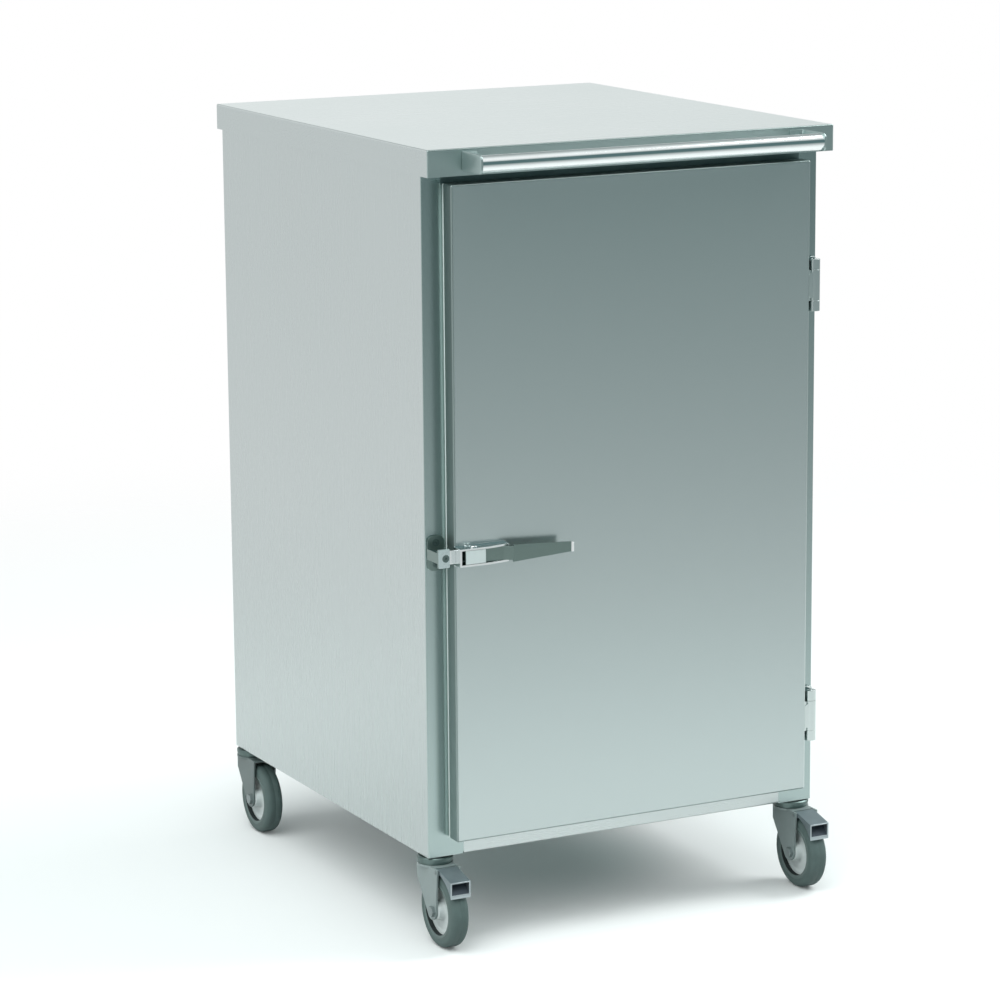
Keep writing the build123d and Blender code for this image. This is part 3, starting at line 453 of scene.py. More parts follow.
def turned(name, profile, centre, sides):
    """Turns a profile of (radius, place along X) about an axis along X, ring by ring."""
    deselect_all()
    radius, along = profile[0]
    bpy.ops.mesh.primitive_circle_add(
        vertices=sides,
        radius=radius,
        location=centre + Vector((along, 0, 0)),
        rotation=(0, math.pi / 2, 0),
    )
    piece = bpy.context.object
    piece.name = piece.data.name = name
    bpy.ops.object.transform_apply(location=False, rotation=True, scale=False)
    bpy.ops.object.mode_set(mode="EDIT")
    bpy.ops.mesh.select_all(action="SELECT")
    for next_radius, next_along in profile[1:]:
        grow = next_radius / radius
        bpy.ops.mesh.extrude_edges_move(
            TRANSFORM_OT_translate={"value": (next_along - along, 0, 0)}
        )
        bpy.ops.transform.resize(value=(1, grow, grow))
        radius, along = next_radius, next_along
    bpy.ops.mesh.select_all(action="SELECT")
    bpy.ops.mesh.remove_doubles(threshold=MERGE)
    bpy.ops.mesh.normals_make_consistent(inside=False)
    leave_edit()
    settle(piece)
    return piece


def copied(piece, name, offset):
    """A copy of the piece with its own mesh, moved by the offset."""
    twin = piece.copy()
    twin.data = piece.data.copy()
    twin.name = twin.data.name = name
    bpy.context.scene.collection.objects.link(twin)
    twin.location = offset
    settle(twin)
    return twin


def give(piece, material, body, slot, *nodes):
    """Paints a piece, lets it ride on its body and says which nodes it stands for."""
    piece.data.materials.clear()
    piece.data.materials.append(material)
    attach(piece, body)
    if nodes:
        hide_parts(*nodes)


def dress(material, *nodes):
    """Gives CAD nodes a material in place of the one they were packed with."""
    for node in nodes:
        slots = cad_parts[node].material_slots
        if not slots:
            raise RuntimeError(f"{node} has no material slot")
        for slot in slots:
            slot.material = material


# Shader helpers


def new_material(name):
    material = bpy.data.materials.new(name)
    material.use_nodes = True
    return material, material.node_tree, material.node_tree.nodes["Principled BSDF"]


def add_node(tree, kind, **settings):
    node = tree.nodes.new(kind)
    for key, value in settings.items():
        setattr(node, key, value)
    return node


def object_vector(tree, scale):
    """Object coordinates stretched by a Mapping node."""
    place = add_node(tree, "ShaderNodeTexCoord")
    mapping = add_node(tree, "ShaderNodeMapping")
    mapping.inputs["Scale"].default_value = scale
    tree.links.new(place.outputs["Object"], mapping.inputs["Vector"])
    return mapping.outputs["Vector"]


def new_group(name, inputs, outputs):
    group = bpy.data.node_groups.new(name, "ShaderNodeTree")
    for label, kind, value in inputs:
        socket = group.interface.new_socket(name=label, in_out="INPUT", socket_type=kind)
        if value is not None:
            socket.default_value = value
    for label, kind in outputs:
        group.interface.new_socket(name=label, in_out="OUTPUT", socket_type=kind)
    enter = group.nodes.new("NodeGroupInput")
    leave = group.nodes.new("NodeGroupOutput")
    return group, enter, leave


def ranged(group, value, low, high):
    """A value from 0 to 1 put between two group sockets."""
    node = add_node(group, "ShaderNodeMapRange")
    group.links.new(value, node.inputs["Value"])
    group.links.new(low, node.inputs["To Min"])
    group.links.new(high, node.inputs["To Max"])
    return node.outputs["Result"]


def put_out(group, enter, leave, mix, height):
    """Ranges the mix into roughness and tone, and passes the height on."""
    for label in ("Roughness", "Tone"):
        low, high = enter.outputs[f"{label} low"], enter.outputs[f"{label} high"]
        group.links.new(ranged(group, mix, low, high), leave.inputs[label])
    group.links.new(height, leave.inputs["Height"])
    return group


RANGES = (
    ("Roughness low", "NodeSocketFloat", 0.25),
    ("Roughness high", "NodeSocketFloat", 0.4),
    ("Tone low", "NodeSocketFloat", 0.95),
    ("Tone high", "NodeSocketFloat", 1.0),
)
EFFECTS = tuple((label, "NodeSocketFloat") for label in ("Roughness", "Tone", "Height"))


def brushed_group():
    """Fine lines along the stretched axis, and the slow unevenness of a rolled sheet."""
    vectors = (("Lines", "NodeSocketVector", None), ("Sheet", "NodeSocketVector", None))
    group, enter, leave = new_group("brushed_lines", (*vectors, *RANGES), EFFECTS)
    lines = add_node(group, "ShaderNodeTexNoise")
    lines.inputs["Scale"].default_value = 1.0
    lines.inputs["Detail"].default_value = 4.0
    lines.inputs["Roughness"].default_value = 0.65
    sheet = add_node(group, "ShaderNodeTexNoise")
    sheet.inputs["Scale"].default_value = 3.0
    sheet.inputs["Detail"].default_value = 3.0
    group.links.new(enter.outputs["Lines"], lines.inputs["Vector"])
    group.links.new(enter.outputs["Sheet"], sheet.inputs["Vector"])
    lines_share, sheet_share = 0.7, 0.3
    both = add_node(group, "ShaderNodeMath", operation="MULTIPLY_ADD", use_clamp=True)
    both.inputs[1].default_value = lines_share
    group.links.new(lines.outputs["Fac"], both.inputs[0])
    part = add_node(group, "ShaderNodeMath", operation="MULTIPLY")
    part.inputs[1].default_value = sheet_share
    group.links.new(sheet.outputs["Fac"], part.inputs[0])
    group.links.new(part.outputs["Value"], both.inputs[2])
    return put_out(group, enter, leave, both.outputs["Value"], lines.outputs["Fac"])


def mottled_group():
    """The cloudy tone and pin-prick height of a plated or moulded surface."""
    vectors = (("Surface", "NodeSocketVector", None),)
    group, enter, leave = new_group("mottled_surface", (*vectors, *RANGES), EFFECTS)
    cloud = add_node(group, "ShaderNodeTexNoise")
    cloud.inputs["Scale"].default_value = 60.0
    cloud.inputs["Detail"].default_value = 5.0
    grit = add_node(group, "ShaderNodeTexVoronoi")
    grit.inputs["Scale"].default_value = 1400.0
    group.links.new(enter.outputs["Surface"], cloud.inputs["Vector"])
    group.links.new(enter.outputs["Surface"], grit.inputs["Vector"])
    return put_out(group, enter, leave, cloud.outputs["Fac"], grit.outputs["Distance"])


def group_named(name, build):
    return bpy.data.node_groups.get(name) or build()


def place_group(tree, group, **values):
    node = add_node(tree, "ShaderNodeGroup")
    node.node_tree = group
    for key, value in values.items():
        node.inputs[key.replace("_", " ").capitalize()].default_value = value
    return node


def shade(tree, shader, effect, tint, bump, depth):
    """Takes tone, roughness and height from a group into the material's shader."""
    tone = add_node(tree, "ShaderNodeMix", data_type="RGBA", blend_type="MULTIPLY")
    tone.inputs["Factor"].default_value = 1.0
    tone.inputs["A"].default_value = (*tint, 1)
    tree.links.new(effect.outputs["Tone"], tone.inputs["B"])
    tree.links.new(tone.outputs["Result"], shader.inputs["Base Color"])
    tree.links.new(effect.outputs["Roughness"], shader.inputs["Roughness"])
    height = add_node(tree, "ShaderNodeBump")
    height.inputs["Strength"].default_value = bump
    height.inputs["Distance"].default_value = depth
    tree.links.new(effect.outputs["Height"], height.inputs["Height"])
    tree.links.new(height.outputs["Normal"], shader.inputs["Normal"])


def brushed_steel(name, tint, roughness, along, spread=0.06, metallic=1.0):
    """Stainless sheet brushed along X or Z."""
    material, tree, shader = new_material(name)
    stretch = {"X": (9, 900, 900), "Z": (900, 900, 9)}[along]
    effect = place_group(
        tree,
        group_named("brushed_lines", brushed_group),
        roughness_low=roughness - spread,
        roughness_high=roughness + spread,
        tone_low=0.97,
        tone_high=1.02,
    )
    tree.links.new(object_vector(tree, stretch), effect.inputs["Lines"])
    tree.links.new(object_vector(tree, (1, 1, 1)), effect.inputs["Sheet"])
    shader.inputs["Metallic"].default_value = metallic
    shade(tree, shader, effect, tint, bump=0.035, depth=0.00004)
    return material


def mottled(name, tint, metallic, low, high, tones, bump, fineness=1.0):
    """A plated, cast or moulded surface."""
    material, tree, shader = new_material(name)
    effect = place_group(
        tree,
        group_named("mottled_surface", mottled_group),
        roughness_low=low,
        roughness_high=high,
        tone_low=tones[0],
        tone_high=tones[1],
    )
    scale = (fineness, fineness, fineness)
    tree.links.new(object_vector(tree, scale), effect.inputs["Surface"])
    shader.inputs["Metallic"].default_value = metallic
    shade(tree, shader, effect, tint, bump, depth=0.00005)
    return material


def finish(name):
    """The named finish, made the first time that it is asked for."""
    found = bpy.data.materials.get(name)
    if found:
        return found
    steel = bpy.context.scene.trolley_steel
    wheels = bpy.context.scene.trolley_wheels
    # Tint, roughness, the way of the lines, spread of the roughness, share of metal
    brushed = {
        "sheet_upright": (steel.sheet_tint, steel.sheet_roughness, "Z"),
        # painted light: the upward faces are lighter than the same sheet elsewhere
        "sheet_flat": (steel.top_tint, steel.sheet_roughness, "X"),
        "sheet_rim": (steel.sheet_tint, steel.sheet_roughness, "X"),
        "sheet_inside": ((0.56, 0.61, 0.605), 0.34, "X", 0.06, 0.55),
        # painted shade: front faces and bends are darker than the same sheet elsewhere
        "front_edge": (steel.front_shade_tint, 0.46, "X"),
        "stile_edge": (steel.front_shade_tint, 0.24, "Z"),
        "bend_edge": (steel.bend_shade_tint, 0.4, "Z"),
        "door_sheet": (steel.door_tint, steel.door_roughness, "Z", 0.04, 0.85),
        # also a painted highlight on the door skin's hinge-side bend
        "satin_steel": ((0.62, 0.69, 0.68), 0.2, "Z"),
        # also painted shade on the keeper's foot and outer side
        "lever_steel": (steel.lever_and_shade_tint, 0.3, "X", 0.05),
        "lever_boss": (steel.top_tint, 0.6, "Z", 0.05),
    }
    # Tint, share of metal, lowest and highest roughness and tone, bump, fineness
    plated_or_moulded = {
        # painted shade under the worktop's rim, above the door
        "shadow_gap": ((0.16, 0.22, 0.22), 1.0, 0.35, 0.5, (0.8, 1.1), 0.2),
        "polished_steel": (steel.polish_tint, 1.0, 0.08, 0.14, (0.96, 1.02), 0.04),
        "keeper_steel": ((0.64, 0.75, 0.75), 1.0, 0.2, 0.35, (0.9, 1.05), 0.1),
        "fork_zinc": (steel.fork_tint, 0.2, 0.35, 0.5, (0.85, 1.08), 0.2),
        # painted shade on the rear forks
        "rear_fork_zinc": (steel.rear_fork_tint, 0.2, 0.35, 0.5, (0.85, 1.08), 0.2),
        "pedal_zinc": (steel.pedal_tint, 0.6, 0.3, 0.45, (0.8, 1.1), 0.2),
        # painted highlight round the pedal's mouth
        "pedal_mouth": ((0.45, 0.52, 0.54), 0.8, 0.25, 0.4, (0.85, 1.05), 0.15),
        # painted shade inside the pedal
        "pedal_inside": ((0.06, 0.08, 0.10), 0.3, 0.5, 0.65, (0.8, 1.1), 0.2),
        "axle_zinc": ((0.30, 0.36, 0.36), 0.6, 0.3, 0.45, (0.85, 1.05), 0.15),
        # painted shade on the castor heads and frame screws
        "shaded_zinc": (steel.shaded_tint, 1.0, 0.3, 0.5, (0.75, 1.1), 0.2),
        "screw_zinc": (steel.zinc_tint, 1.0, 0.25, 0.4, (0.8, 1.0), 0.2, 2.0),
        "tyre_grey": (wheels.tyre_tint, 0.0, 0.55, 0.75, (0.8, 1.15), 0.25),
        # painted shade in the tyre's bore
        "tyre_bore": ((0.012, 0.02, 0.02), 0.0, 0.6, 0.8, (0.8, 1.15), 0.2),
        # painted highlight on the ring round the tyre's bore
        "tyre_ring": ((0.14, 0.20, 0.19), 0.0, 0.45, 0.6, (0.8, 1.1), 0.2),
        "wheel_plastic": (wheels.centre_tint, 0.0, 0.3, 0.45, (0.94, 1.03), 0.1),
        "seal_silicone": ((0.80, 0.90, 0.87), 0.0, 0.5, 0.7, (0.92, 1.03), 0.3),
        "core_foam": ((0.72, 0.68, 0.45), 0.0, 0.85, 0.95, (0.85, 1.05), 0.8),
    }
    if name in brushed:
        return brushed_steel(name, *brushed[name])
    return mottled(name, *plated_or_moulded[name])


# Pieces


class DressCabinet(bpy.types.Operator):
    """Gives the cabinet's sheets, rails and shelves their brushed steel, with painted light
    and shade on some of their faces
    """

    bl_idname = "trolley.dress_cabinet"
    bl_label = "Cabinet sheets"

    def execute(self, context):
        shelves = ("shelf_lower", "shelf_upper", "shelf_uprights", "shelf_clips")
        below = ("base_rail_left", "base_rail_right", "base_cross_members")
        dress(finish("sheet_inside"), "roof_panel", "floor_panel", *shelves)
        dress(finish("sheet_rim"), "top_stiffeners", "front_rail_bottom", *below)
        back = sheet_copy("back_panel", "back_sheet")
        give(back, finish("sheet_upright"), "cabinet", "sheet_stainless")

        door_low, door_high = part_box("door_outer_skin")
        # painted shade: faces above the door, under the worktop's rim, take a dark finish from
        # this height up
        shade_depth = 0.003  # how far the dark gap above the door reaches behind it
        split = door_high.z - shade_depth

        def faces_up(face):
            return face.normal.z > 0.98

        def faces_front(face):
            return face.normal.y < -0.15 and abs(face.normal.x) < 0.9

        def front_bend(face):
            return face.normal.y < -0.05 and 0.15 < face.normal.z < 0.99

        def back_inside(face):
            return face.normal.y < -0.5

        def side_inside(face):
            return abs(face.normal.x) > 0.5 and face.normal.x * face.calc_center_median().x < 0

        def above_door(face):
            middle = face.calc_center_median()
            over_door = middle.z > split and door_low.x < middle.x < door_high.x
            return face.normal.y < -0.5 and over_door

        top = sheet_copy("top_plate", "top_plate_sheet")
        give(top, finish("sheet_rim"), "cabinet", "sheet_stainless")
        # painted light on the worktop's upward faces, painted shade on its front faces and
        # bends
        repaint(top, finish("sheet_flat"), faces_up)
        repaint(top, finish("front_edge"), faces_front)
        repaint(top, finish("bend_edge"), front_bend)
        repaint(back, finish("sheet_inside"), back_inside)
        level = ((0, 0, split), (0, 0, 1))
        for side, edge in (("left", door_low.x), ("right", door_high.x)):
            upright = ((edge, 0, 0), (1, 0, 0))
            panel = sheet_copy(f"{side}_side_panel", f"{side}_side_sheet", level, upright)
            give(panel, finish("sheet_upright"), "cabinet", "sheet_stainless")
            repaint(panel, finish("sheet_inside"), side_inside)
            # painted shade on the stiles' front faces, and above the door under the worktop's
            # rim
            repaint(panel, finish("stile_edge"), faces_front)
            repaint(panel, finish("shadow_gap"), above_door)
        rail = sheet_copy("front_rail_top", "front_rail_top_sheet", level)
        # painted light: the rail takes the worktop's lighter tint
        give(rail, finish("sheet_flat"), "cabinet", "sheet_stainless")
        # painted shade on the rail above the door
        repaint(rail, finish("shadow_gap"), above_door)
        return {"FINISHED"}


class DressDoor(bpy.types.Operator):
    """Gives the door its brushed skin, its seal and its core, with painted shade on the skin's
    bends and a painted highlight on its hinge-side bend
    """

    bl_idname = "trolley.dress_door"
    bl_label = "Door"

    def execute(self, context):
        skin = sheet_copy("door_outer_skin", "door_outer_sheet")
        # painted shade: the door skin's bends take a darker finish than its flat front
        give(skin, finish("bend_edge"), "door", "door_stainless")

        def flat_front(face):
            return face.normal.y < -0.98

        def hinge_side_bend(face):
            return face.normal.x > 0.15 and face.normal.y < -0.15

        repaint(skin, finish("door_sheet"), flat_front)
        # painted highlight on the door skin's hinge-side bend
        repaint(skin, finish("satin_steel"), hinge_side_bend)
        dress(finish("door_sheet"), "door_inner_liner")
        dress(finish("seal_silicone"), "door_gasket")
        dress(finish("core_foam"), "door_core")
        return {"FINISHED"}


def bar_leg(low, high, sizes):
    """The left leg: a plate whose rear end is folded inwards along the worktop's rim."""
    sheet = sizes.leg_sheet
    flange_front = high.y - sheet
    deselect_all()
    bpy.ops.mesh.primitive_cube_add(
        size=1,
        location=(low.x + sheet / 2, (low.y + high.y) / 2, (low.z + high.z) / 2),
        scale=(sheet, high.y - low.y, high.z - low.z),
    )
    leg = bpy.context.object
    leg.name = leg.data.name = "push_bar_legs"
    settle(leg)
    edit(leg)
    bpy.ops.mesh.select_all(action="SELECT")
    bpy.ops.mesh.bisect(plane_co=(0, flange_front, 0), plane_no=(0, 1, 0))

    def beside_rim(face):
        return face.normal.x > 0.9 and face.calc_center_median().y > flange_front

    select_where(leg, "faces", beside_rim)
    fold = (sizes.flange - sheet, 0, 0)
    bpy.ops.mesh.extrude_region_move(TRANSFORM_OT_translate={"value": fold})
    bpy.ops.mesh.select_all(action="SELECT")
    bpy.ops.mesh.dissolve_limited(angle_limit=math.radians(1))

    def upright_at(x, y):
        def test(edge):
            ends = [vert.co for vert in edge.verts]
            return all(abs(end.x - x) + abs(end.y - y) < TOUCH for end in ends)

        return test

    def front_corner(edge):
        first, second = (vert.co for vert in edge.verts)
        in_front = max(abs(first.y - low.y), abs(second.y - low.y)) < TOUCH
        return in_front and abs(first.z - second.z) < TOUCH

    select_where(leg, "edges", upright_at(low.x, high.y))
    bpy.ops.mesh.bevel(offset=sizes.leg_bend, segments=6, affect="EDGES")
    select_where(leg, "edges", upright_at(low.x + sheet, flange_front))
    bpy.ops.mesh.bevel(offset=sizes.leg_bend - sheet, segments=4, affect="EDGES")
    select_where(leg, "edges", front_corner)
    bpy.ops.mesh.bevel(offset=sizes.leg_round, segments=8, affect="EDGES")
    leave_edit()
    return leg


def weld_nut(low, high, sizes):
    """The hexagon nut on the left leg's flange, with its front rim chamfered."""
    place = Vector((
        low.x + (sizes.leg_sheet + sizes.flange) / 2,
        high.y - sizes.leg_sheet - sizes.nut_height / 2,
        (low.z + high.z) / 2,
    ))
    deselect_all()
    bpy.ops.mesh.primitive_cylinder_add(
        vertices=6,
        radius=sizes.nut_size / math.sqrt(3),
        depth=sizes.nut_height,
        location=place,
        rotation=(math.pi / 2, math.pi / 6, 0),
    )
    nut = bpy.context.object
    settle(nut)
    edit(nut)
    front = place.y - sizes.nut_height / 2

    def front_rim(edge):
        return all(abs(vert.co.y - front) < TOUCH for vert in edge.verts)

    select_where(nut, "edges", front_rim)
    bpy.ops.mesh.bevel(offset=sizes.nut_height / 8, segments=1, affect="EDGES")
    leave_edit()
    return nut


def joined(first, *others):
    active_piece(first)
    for piece in others:
        piece.select_set(True)
    bpy.ops.object.join()
    return first


def mirrored_copy(piece, name):
    """A copy of the piece on the other side of x = 0, with its faces outwards again."""
    twin = copied(piece, name, (0, 0, 0))
    edit(twin)
    bpy.ops.mesh.select_all(action="SELECT")
    bpy.ops.transform.resize(value=(-1, 1, 1), center_override=(0, 0, 0))
    bpy.ops.mesh.normals_make_consistent(inside=False)
    leave_edit()
    return twin


class MakePushBar(bpy.types.Operator):
    """Models the push bar: a round tube between two folded plate legs"""

    bl_idname = "trolley.make_push_bar"
    bl_label = "Push bar"

    def execute(self, context):
        sizes = context.scene.trolley_bar
        low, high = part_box("push_bar")
        leg = joined(bar_leg(low, high, sizes), weld_nut(low, high, sizes))
        legs = joined(leg, mirrored_copy(leg, "push_bar_right_leg"))
        round_edges(legs, context.scene.trolley_steel.edge_round, segments=2, angle=50)
        smooth(legs, 35)
        # painted shade: the legs take the rim's darker front finish
        give(legs, finish("front_edge"), "cabinet", "polished_stainless", "push_bar")
        middle = (low.z + high.z) / 2
        radius = high.z - middle - sizes.tube_step
        half = high.x - sizes.leg_sheet
        centre = Vector((0, low.y + radius, middle))
        ends = [(radius, half), (radius, -half)]
        tube = turned("push_bar_tube", ends, centre, sides=64)
        edit(tube)
        bpy.ops.mesh.select_all(action="SELECT")
        bpy.ops.mesh.fill_holes(sides=0)
        bpy.ops.mesh.normals_make_consistent(inside=False)
        leave_edit()
        smooth(tube, 40)
        give(tube, finish("polished_steel"), "cabinet", "polished_stainless", "push_bar")
        dress(finish("screw_zinc"), "push_bar_screws")
        return {"FINISHED"}


def at_each_corner(name, node, half_profile, angle):
    """Turns a part of the wheel for the front left, then copies it corner by corner."""
    low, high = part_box(f"castor_front_left_{node}")
    sides = bpy.context.scene.trolley_wheels.sides
    first = turned(f"{name}_front_left", both_sides(half_profile), (low + high) / 2, sides)
    smooth(first, angle)
    yield "front_left", first
    for corner in CORNERS[1:]:
        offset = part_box(f"castor_{corner}_{node}")[0] - low
        yield corner, copied(first, f"{name}_{corner}", offset)


def tyre_profile(inner, outer, half):
    """Half of the tyre's section from its bore to its tread, as (radius, place along X)."""
    groove, line = 0.0005, 0.0002
    bore_lip = [
        (inner, half - 0.0016),
        (inner + 0.0004, half - 0.0004),
        (inner + 0.0016, half),
    ]
    flank_groove = [
        (inner + 0.0042, half),
        (inner + 0.0047, half - groove),
        (inner + 0.0056, half - groove),
        (inner + 0.0061, half),
    ]
    profile = bore_lip + flank_groove
    shoulder = half * 0.56
    steps = 8
    for step in range(steps + 1):
        turn = math.radians(step * 90 / steps)
        radius = outer - shoulder + shoulder * math.sin(turn)
        profile.append((radius, half - shoulder + shoulder * math.cos(turn)))
    moulding_line = [(outer, 0.0007), (outer - line, 0.0003)]
    return profile + moulding_line


class MakeTyres(bpy.types.Operator):
    """Turns the tyres, with rounded shoulders and a fine moulding line"""

    bl_idname = "trolley.make_tyres"
    bl_label = "Tyres"

    def execute(self, context):
        low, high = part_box("castor_front_left_tyre")
        rim_low, rim_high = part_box("castor_front_left_rim")
        outer = (high.z - low.z) / 2
        inner = (rim_high.z - rim_low.z) / 2
        profile = tyre_profile(inner, outer, (high.x - low.x) / 2)
        # painted shade in the bore, painted highlight on the ring round it
        bore_end, ring_end = inner + 0.0003, inner + 0.0055
        for corner, tyre in at_each_corner("tyre", "tyre", profile, 35):
            node = f"castor_{corner}_tyre"
            give(tyre, finish("tyre_grey"), f"castor_{corner}_wheel", "tyre_rubber", node)
            tyre_low, tyre_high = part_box(node)
            middle = (tyre_low + tyre_high) / 2

            def reach(face):
                across = face.calc_center_median() - middle
                return math.hypot(across.y, across.z)

            def in_bore(face):
                return reach(face) < bore_end

            def in_ring(face):
                return bore_end < reach(face) < ring_end

            # painted shade on the bore wall, painted highlight on the ring beside it
            repaint(tyre, finish("tyre_bore"), in_bore)
            repaint(tyre, finish("tyre_ring"), in_ring)
        return {"FINISHED"}


class MakeWheelCentres(bpy.types.Operator):
    """Turns the dished wheel centres with their hubs and bearing seals"""

    bl_idname = "trolley.make_wheel_centres"
    bl_label = "Wheel centres"

    def execute(self, context):
        low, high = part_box("castor_front_left_rim")
        outer = (high.z - low.z) / 2
        half = (high.x - low.x) / 2
        bearing = [
            (0.00405, half),
            (0.0068, half),
            (0.0072, half - 0.0008),
            (0.0086, half - 0.0008),
        ]
        hub = [
            (0.0090, half - 0.0002),
            (0.0112, half - 0.0002),
            (0.0119, half - 0.0008),
            (0.0124, half - 0.0070),
            (0.0132, half - 0.0090),
        ]
        dish = [
            (0.0150, half - 0.0100),
            (0.0170, half - 0.0102),
            (0.0250, half - 0.0102),
            (0.0268, half - 0.0100),
            (0.0284, half - 0.0092),
            (0.0296, half - 0.0088),
            (outer, half - 0.0087),
        ]
        profile = bearing + hub + dish
        for corner, wheel in at_each_corner("wheel_centre", "rim", profile, 40):
            body, node = f"castor_{corner}_wheel", f"castor_{corner}_rim"
            give(wheel, finish("wheel_plastic"), body, "wheel_centre", node)
        return {"FINISHED"}


class MakeForks(bpy.types.Operator):
    """Rounds the pressed edges of the castor forks and brake pedals, and gives the castor
    heads, races and nuts a painted shade
    """

    bl_idname = "trolley.make_forks"
    bl_label = "Castor forks and heads"

    def execute(self, context):
        width = context.scene.trolley_steel.edge_round
        for corner in CORNERS:
            body = f"castor_{corner}_swivel"
            fork = softened(f"castor_{corner}_fork", f"fork_{corner}", width)
            # painted shade: the rear forks take a darker finish than the front ones
            zinc = "fork_zinc" if corner in BRAKED else "rear_fork_zinc"
            give(fork, finish(zinc), body, "zinc_steel")
            dress(finish("axle_zinc"), f"castor_{corner}_axle")
        for corner in BRAKED:
            pedal = softened(f"brake_pedal_{corner}", f"pedal_{corner}", width)
            give(pedal, finish("pedal_zinc"), f"brake_pedal_{corner}", "zinc_steel")
            low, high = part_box(f"brake_pedal_{corner}")
            mouth_end = low.y + 0.0012
            mid_height = (low.z + high.z) / 2

            def around_mouth(face):
                return face.calc_center_median().y < mouth_end

            def inside_floor(face):
                return face.normal.z > 0.1 and face.calc_center_median().z < mid_height

            # painted shade on the floor inside the pedal, painted highlight round its mouth
            repaint(pedal, finish("pedal_inside"), inside_floor)
            repaint(pedal, finish("pedal_mouth"), around_mouth)
        # painted shade on the castor heads, races and nuts
        dress(finish("shaded_zinc"), "castor_heads", "castor_races", "castor_nuts")
        return {"FINISHED"}


class MakeLatch(bpy.types.Operator):
    """Rounds the latch housing, lever, bolt and keeper"""

    bl_idname = "trolley.make_latch"
    bl_label = "Latch"

    def execute(self, context):
        pressed = context.scene.trolley_steel.edge_round
        cast = 1.4 * pressed
        pieces = (
            ("latch_housing", "door", pressed, "polished_steel"),
            ("latch_lever", "latch_lever", cast, "lever_steel"),
            ("latch_bolt", "latch_bolt", pressed, "polished_steel"),
            ("keeper", "cabinet", cast, "keeper_steel"),
            # painted shade: the keeper's foot is darkened
            ("keeper_foot", "cabinet", pressed, "lever_steel"),
        )
        made = {}
        for node, body, width, steel in pieces:
            made[node] = softened(node, f"{node}_rounded", width, segments=3)
            give(made[node], finish(steel), body, "polished_stainless")
        pin_low, pin_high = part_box("latch_pin")
        pin = (pin_low.x + pin_high.x) / 2
        boss_reach = 0.0152
        lip_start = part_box("latch_lever")[1].x - 0.0042

        def boss_front(face):
            middle = face.calc_center_median()
            return face.normal.y < -0.5 and abs(middle.x - pin) < boss_reach

        def tip_lip(face):
            return face.calc_center_median().x > lip_start

        def outer_side(face):
            return face.normal.x < -0.5

        repaint(made["latch_lever"], finish("lever_boss"), boss_front)
        repaint(made["latch_lever"], finish("polished_steel"), tip_lip)
        # painted shade on the keeper's outer side
        repaint(made["keeper"], finish("lever_steel"), outer_side)
        dress(finish("polished_steel"), "latch_pin")
        dress(finish("screw_zinc"), "latch_spring", "door_screws")
        # painted shade on the frame screws
        dress(finish("shaded_zinc"), "frame_screws")
        return {"FINISHED"}


class MakeHinges(bpy.types.Operator):
    """Rounds the hinge leaves and their knuckles"""

    bl_idname = "trolley.make_hinges"
    bl_label = "Hinges"

    def execute(self, context):
        width = context.scene.trolley_steel.edge_round
        for level in ("upper", "lower"):
            for leaf, body in (("frame", "cabinet"), ("door", "door")):
                node = f"hinge_{level}_{leaf}_leaf"
                piece = softened(node, f"{node}_rounded", width)
                give(piece, finish("satin_steel"), body, "polished_stainless")
        dress(finish("satin_steel"), "hinge_pins")
        return {"FINISHED"}


# Studio

CAMERA_PLACE = (-2.3671, -4.54415, 1.5884)
CAMERA_YAW, CAMERA_PITCH, CAMERA_ROLL = (math.radians(a) for a in (-27.321, -12.058, -0.396))
CAMERA_SHIFT = (-0.0152, 0.0190)
CAMERA_SIDE = (0.46, -0.89, 0)  # the level direction from the trolley towards the camera
LAMP_TARGET = Vector((0, 0, 0.3))
LEFT_LAMP = {"place": (-1.8, -0.8, 3.0), "size": (3.0, 3.0)}
RIGHT_LAMP = {"place": (3.1, -0.6, 3.0), "size": (2.0, 3.0)}


def larger(tree, first, second):
    node = add_node(tree, "ShaderNodeMath", operation="MAXIMUM")
    tree.links.new(first, node.inputs[0])
    tree.links.new(second, node.inputs[1])
    return node.outputs["Value"]


def mixed(tree, factor, low, high):
    """A mix of two colours, each of them a value or another node's output."""
    node = add_node(tree, "ShaderNodeMix", data_type="RGBA")
    for socket, colour in (("A", low), ("B", high)):
        if isinstance(colour, tuple):
            node.inputs[socket].default_value = (*colour, 1)
        else:
            tree.links.new(colour, node.inputs[socket])
    tree.links.new(factor, node.inputs["Factor"])
    return node.outputs["Result"]


def eased(tree, value, start, end):
    """0 before start, 1 after end and a smooth change between them."""
    node = add_node(tree, "ShaderNodeMapRange", interpolation_type="SMOOTHSTEP")
    node.inputs["From Min"].default_value = start
    node.inputs["From Max"].default_value = end
    tree.links.new(value, node.inputs["Value"])
    return node.outputs["Result"]


def times(tree, first, second):
    node = add_node(tree, "ShaderNodeMath", operation="MULTIPLY")
    tree.links.new(first, node.inputs[0])
    if isinstance(second, float):
        node.inputs[1].default_value = second
    else:
        tree.links.new(second, node.inputs[1])
    return node.outputs["Value"]


def colour_ramp(tree, value, stops):
    """A colour ramp through the stops of (place, colour)."""
    node = add_node(tree, "ShaderNodeValToRGB")
    tree.links.new(value, node.inputs["Fac"])
    ramp = node.color_ramp.elements
    ramp[0].position, ramp[1].position = stops[0][0], stops[-1][0]
    for place, _ in stops[1:-1]:
        ramp.new(place)
    for element, (_, colour) in zip(ramp, stops):
        element.color = (*colour, 1)
    return node.outputs["Color"]


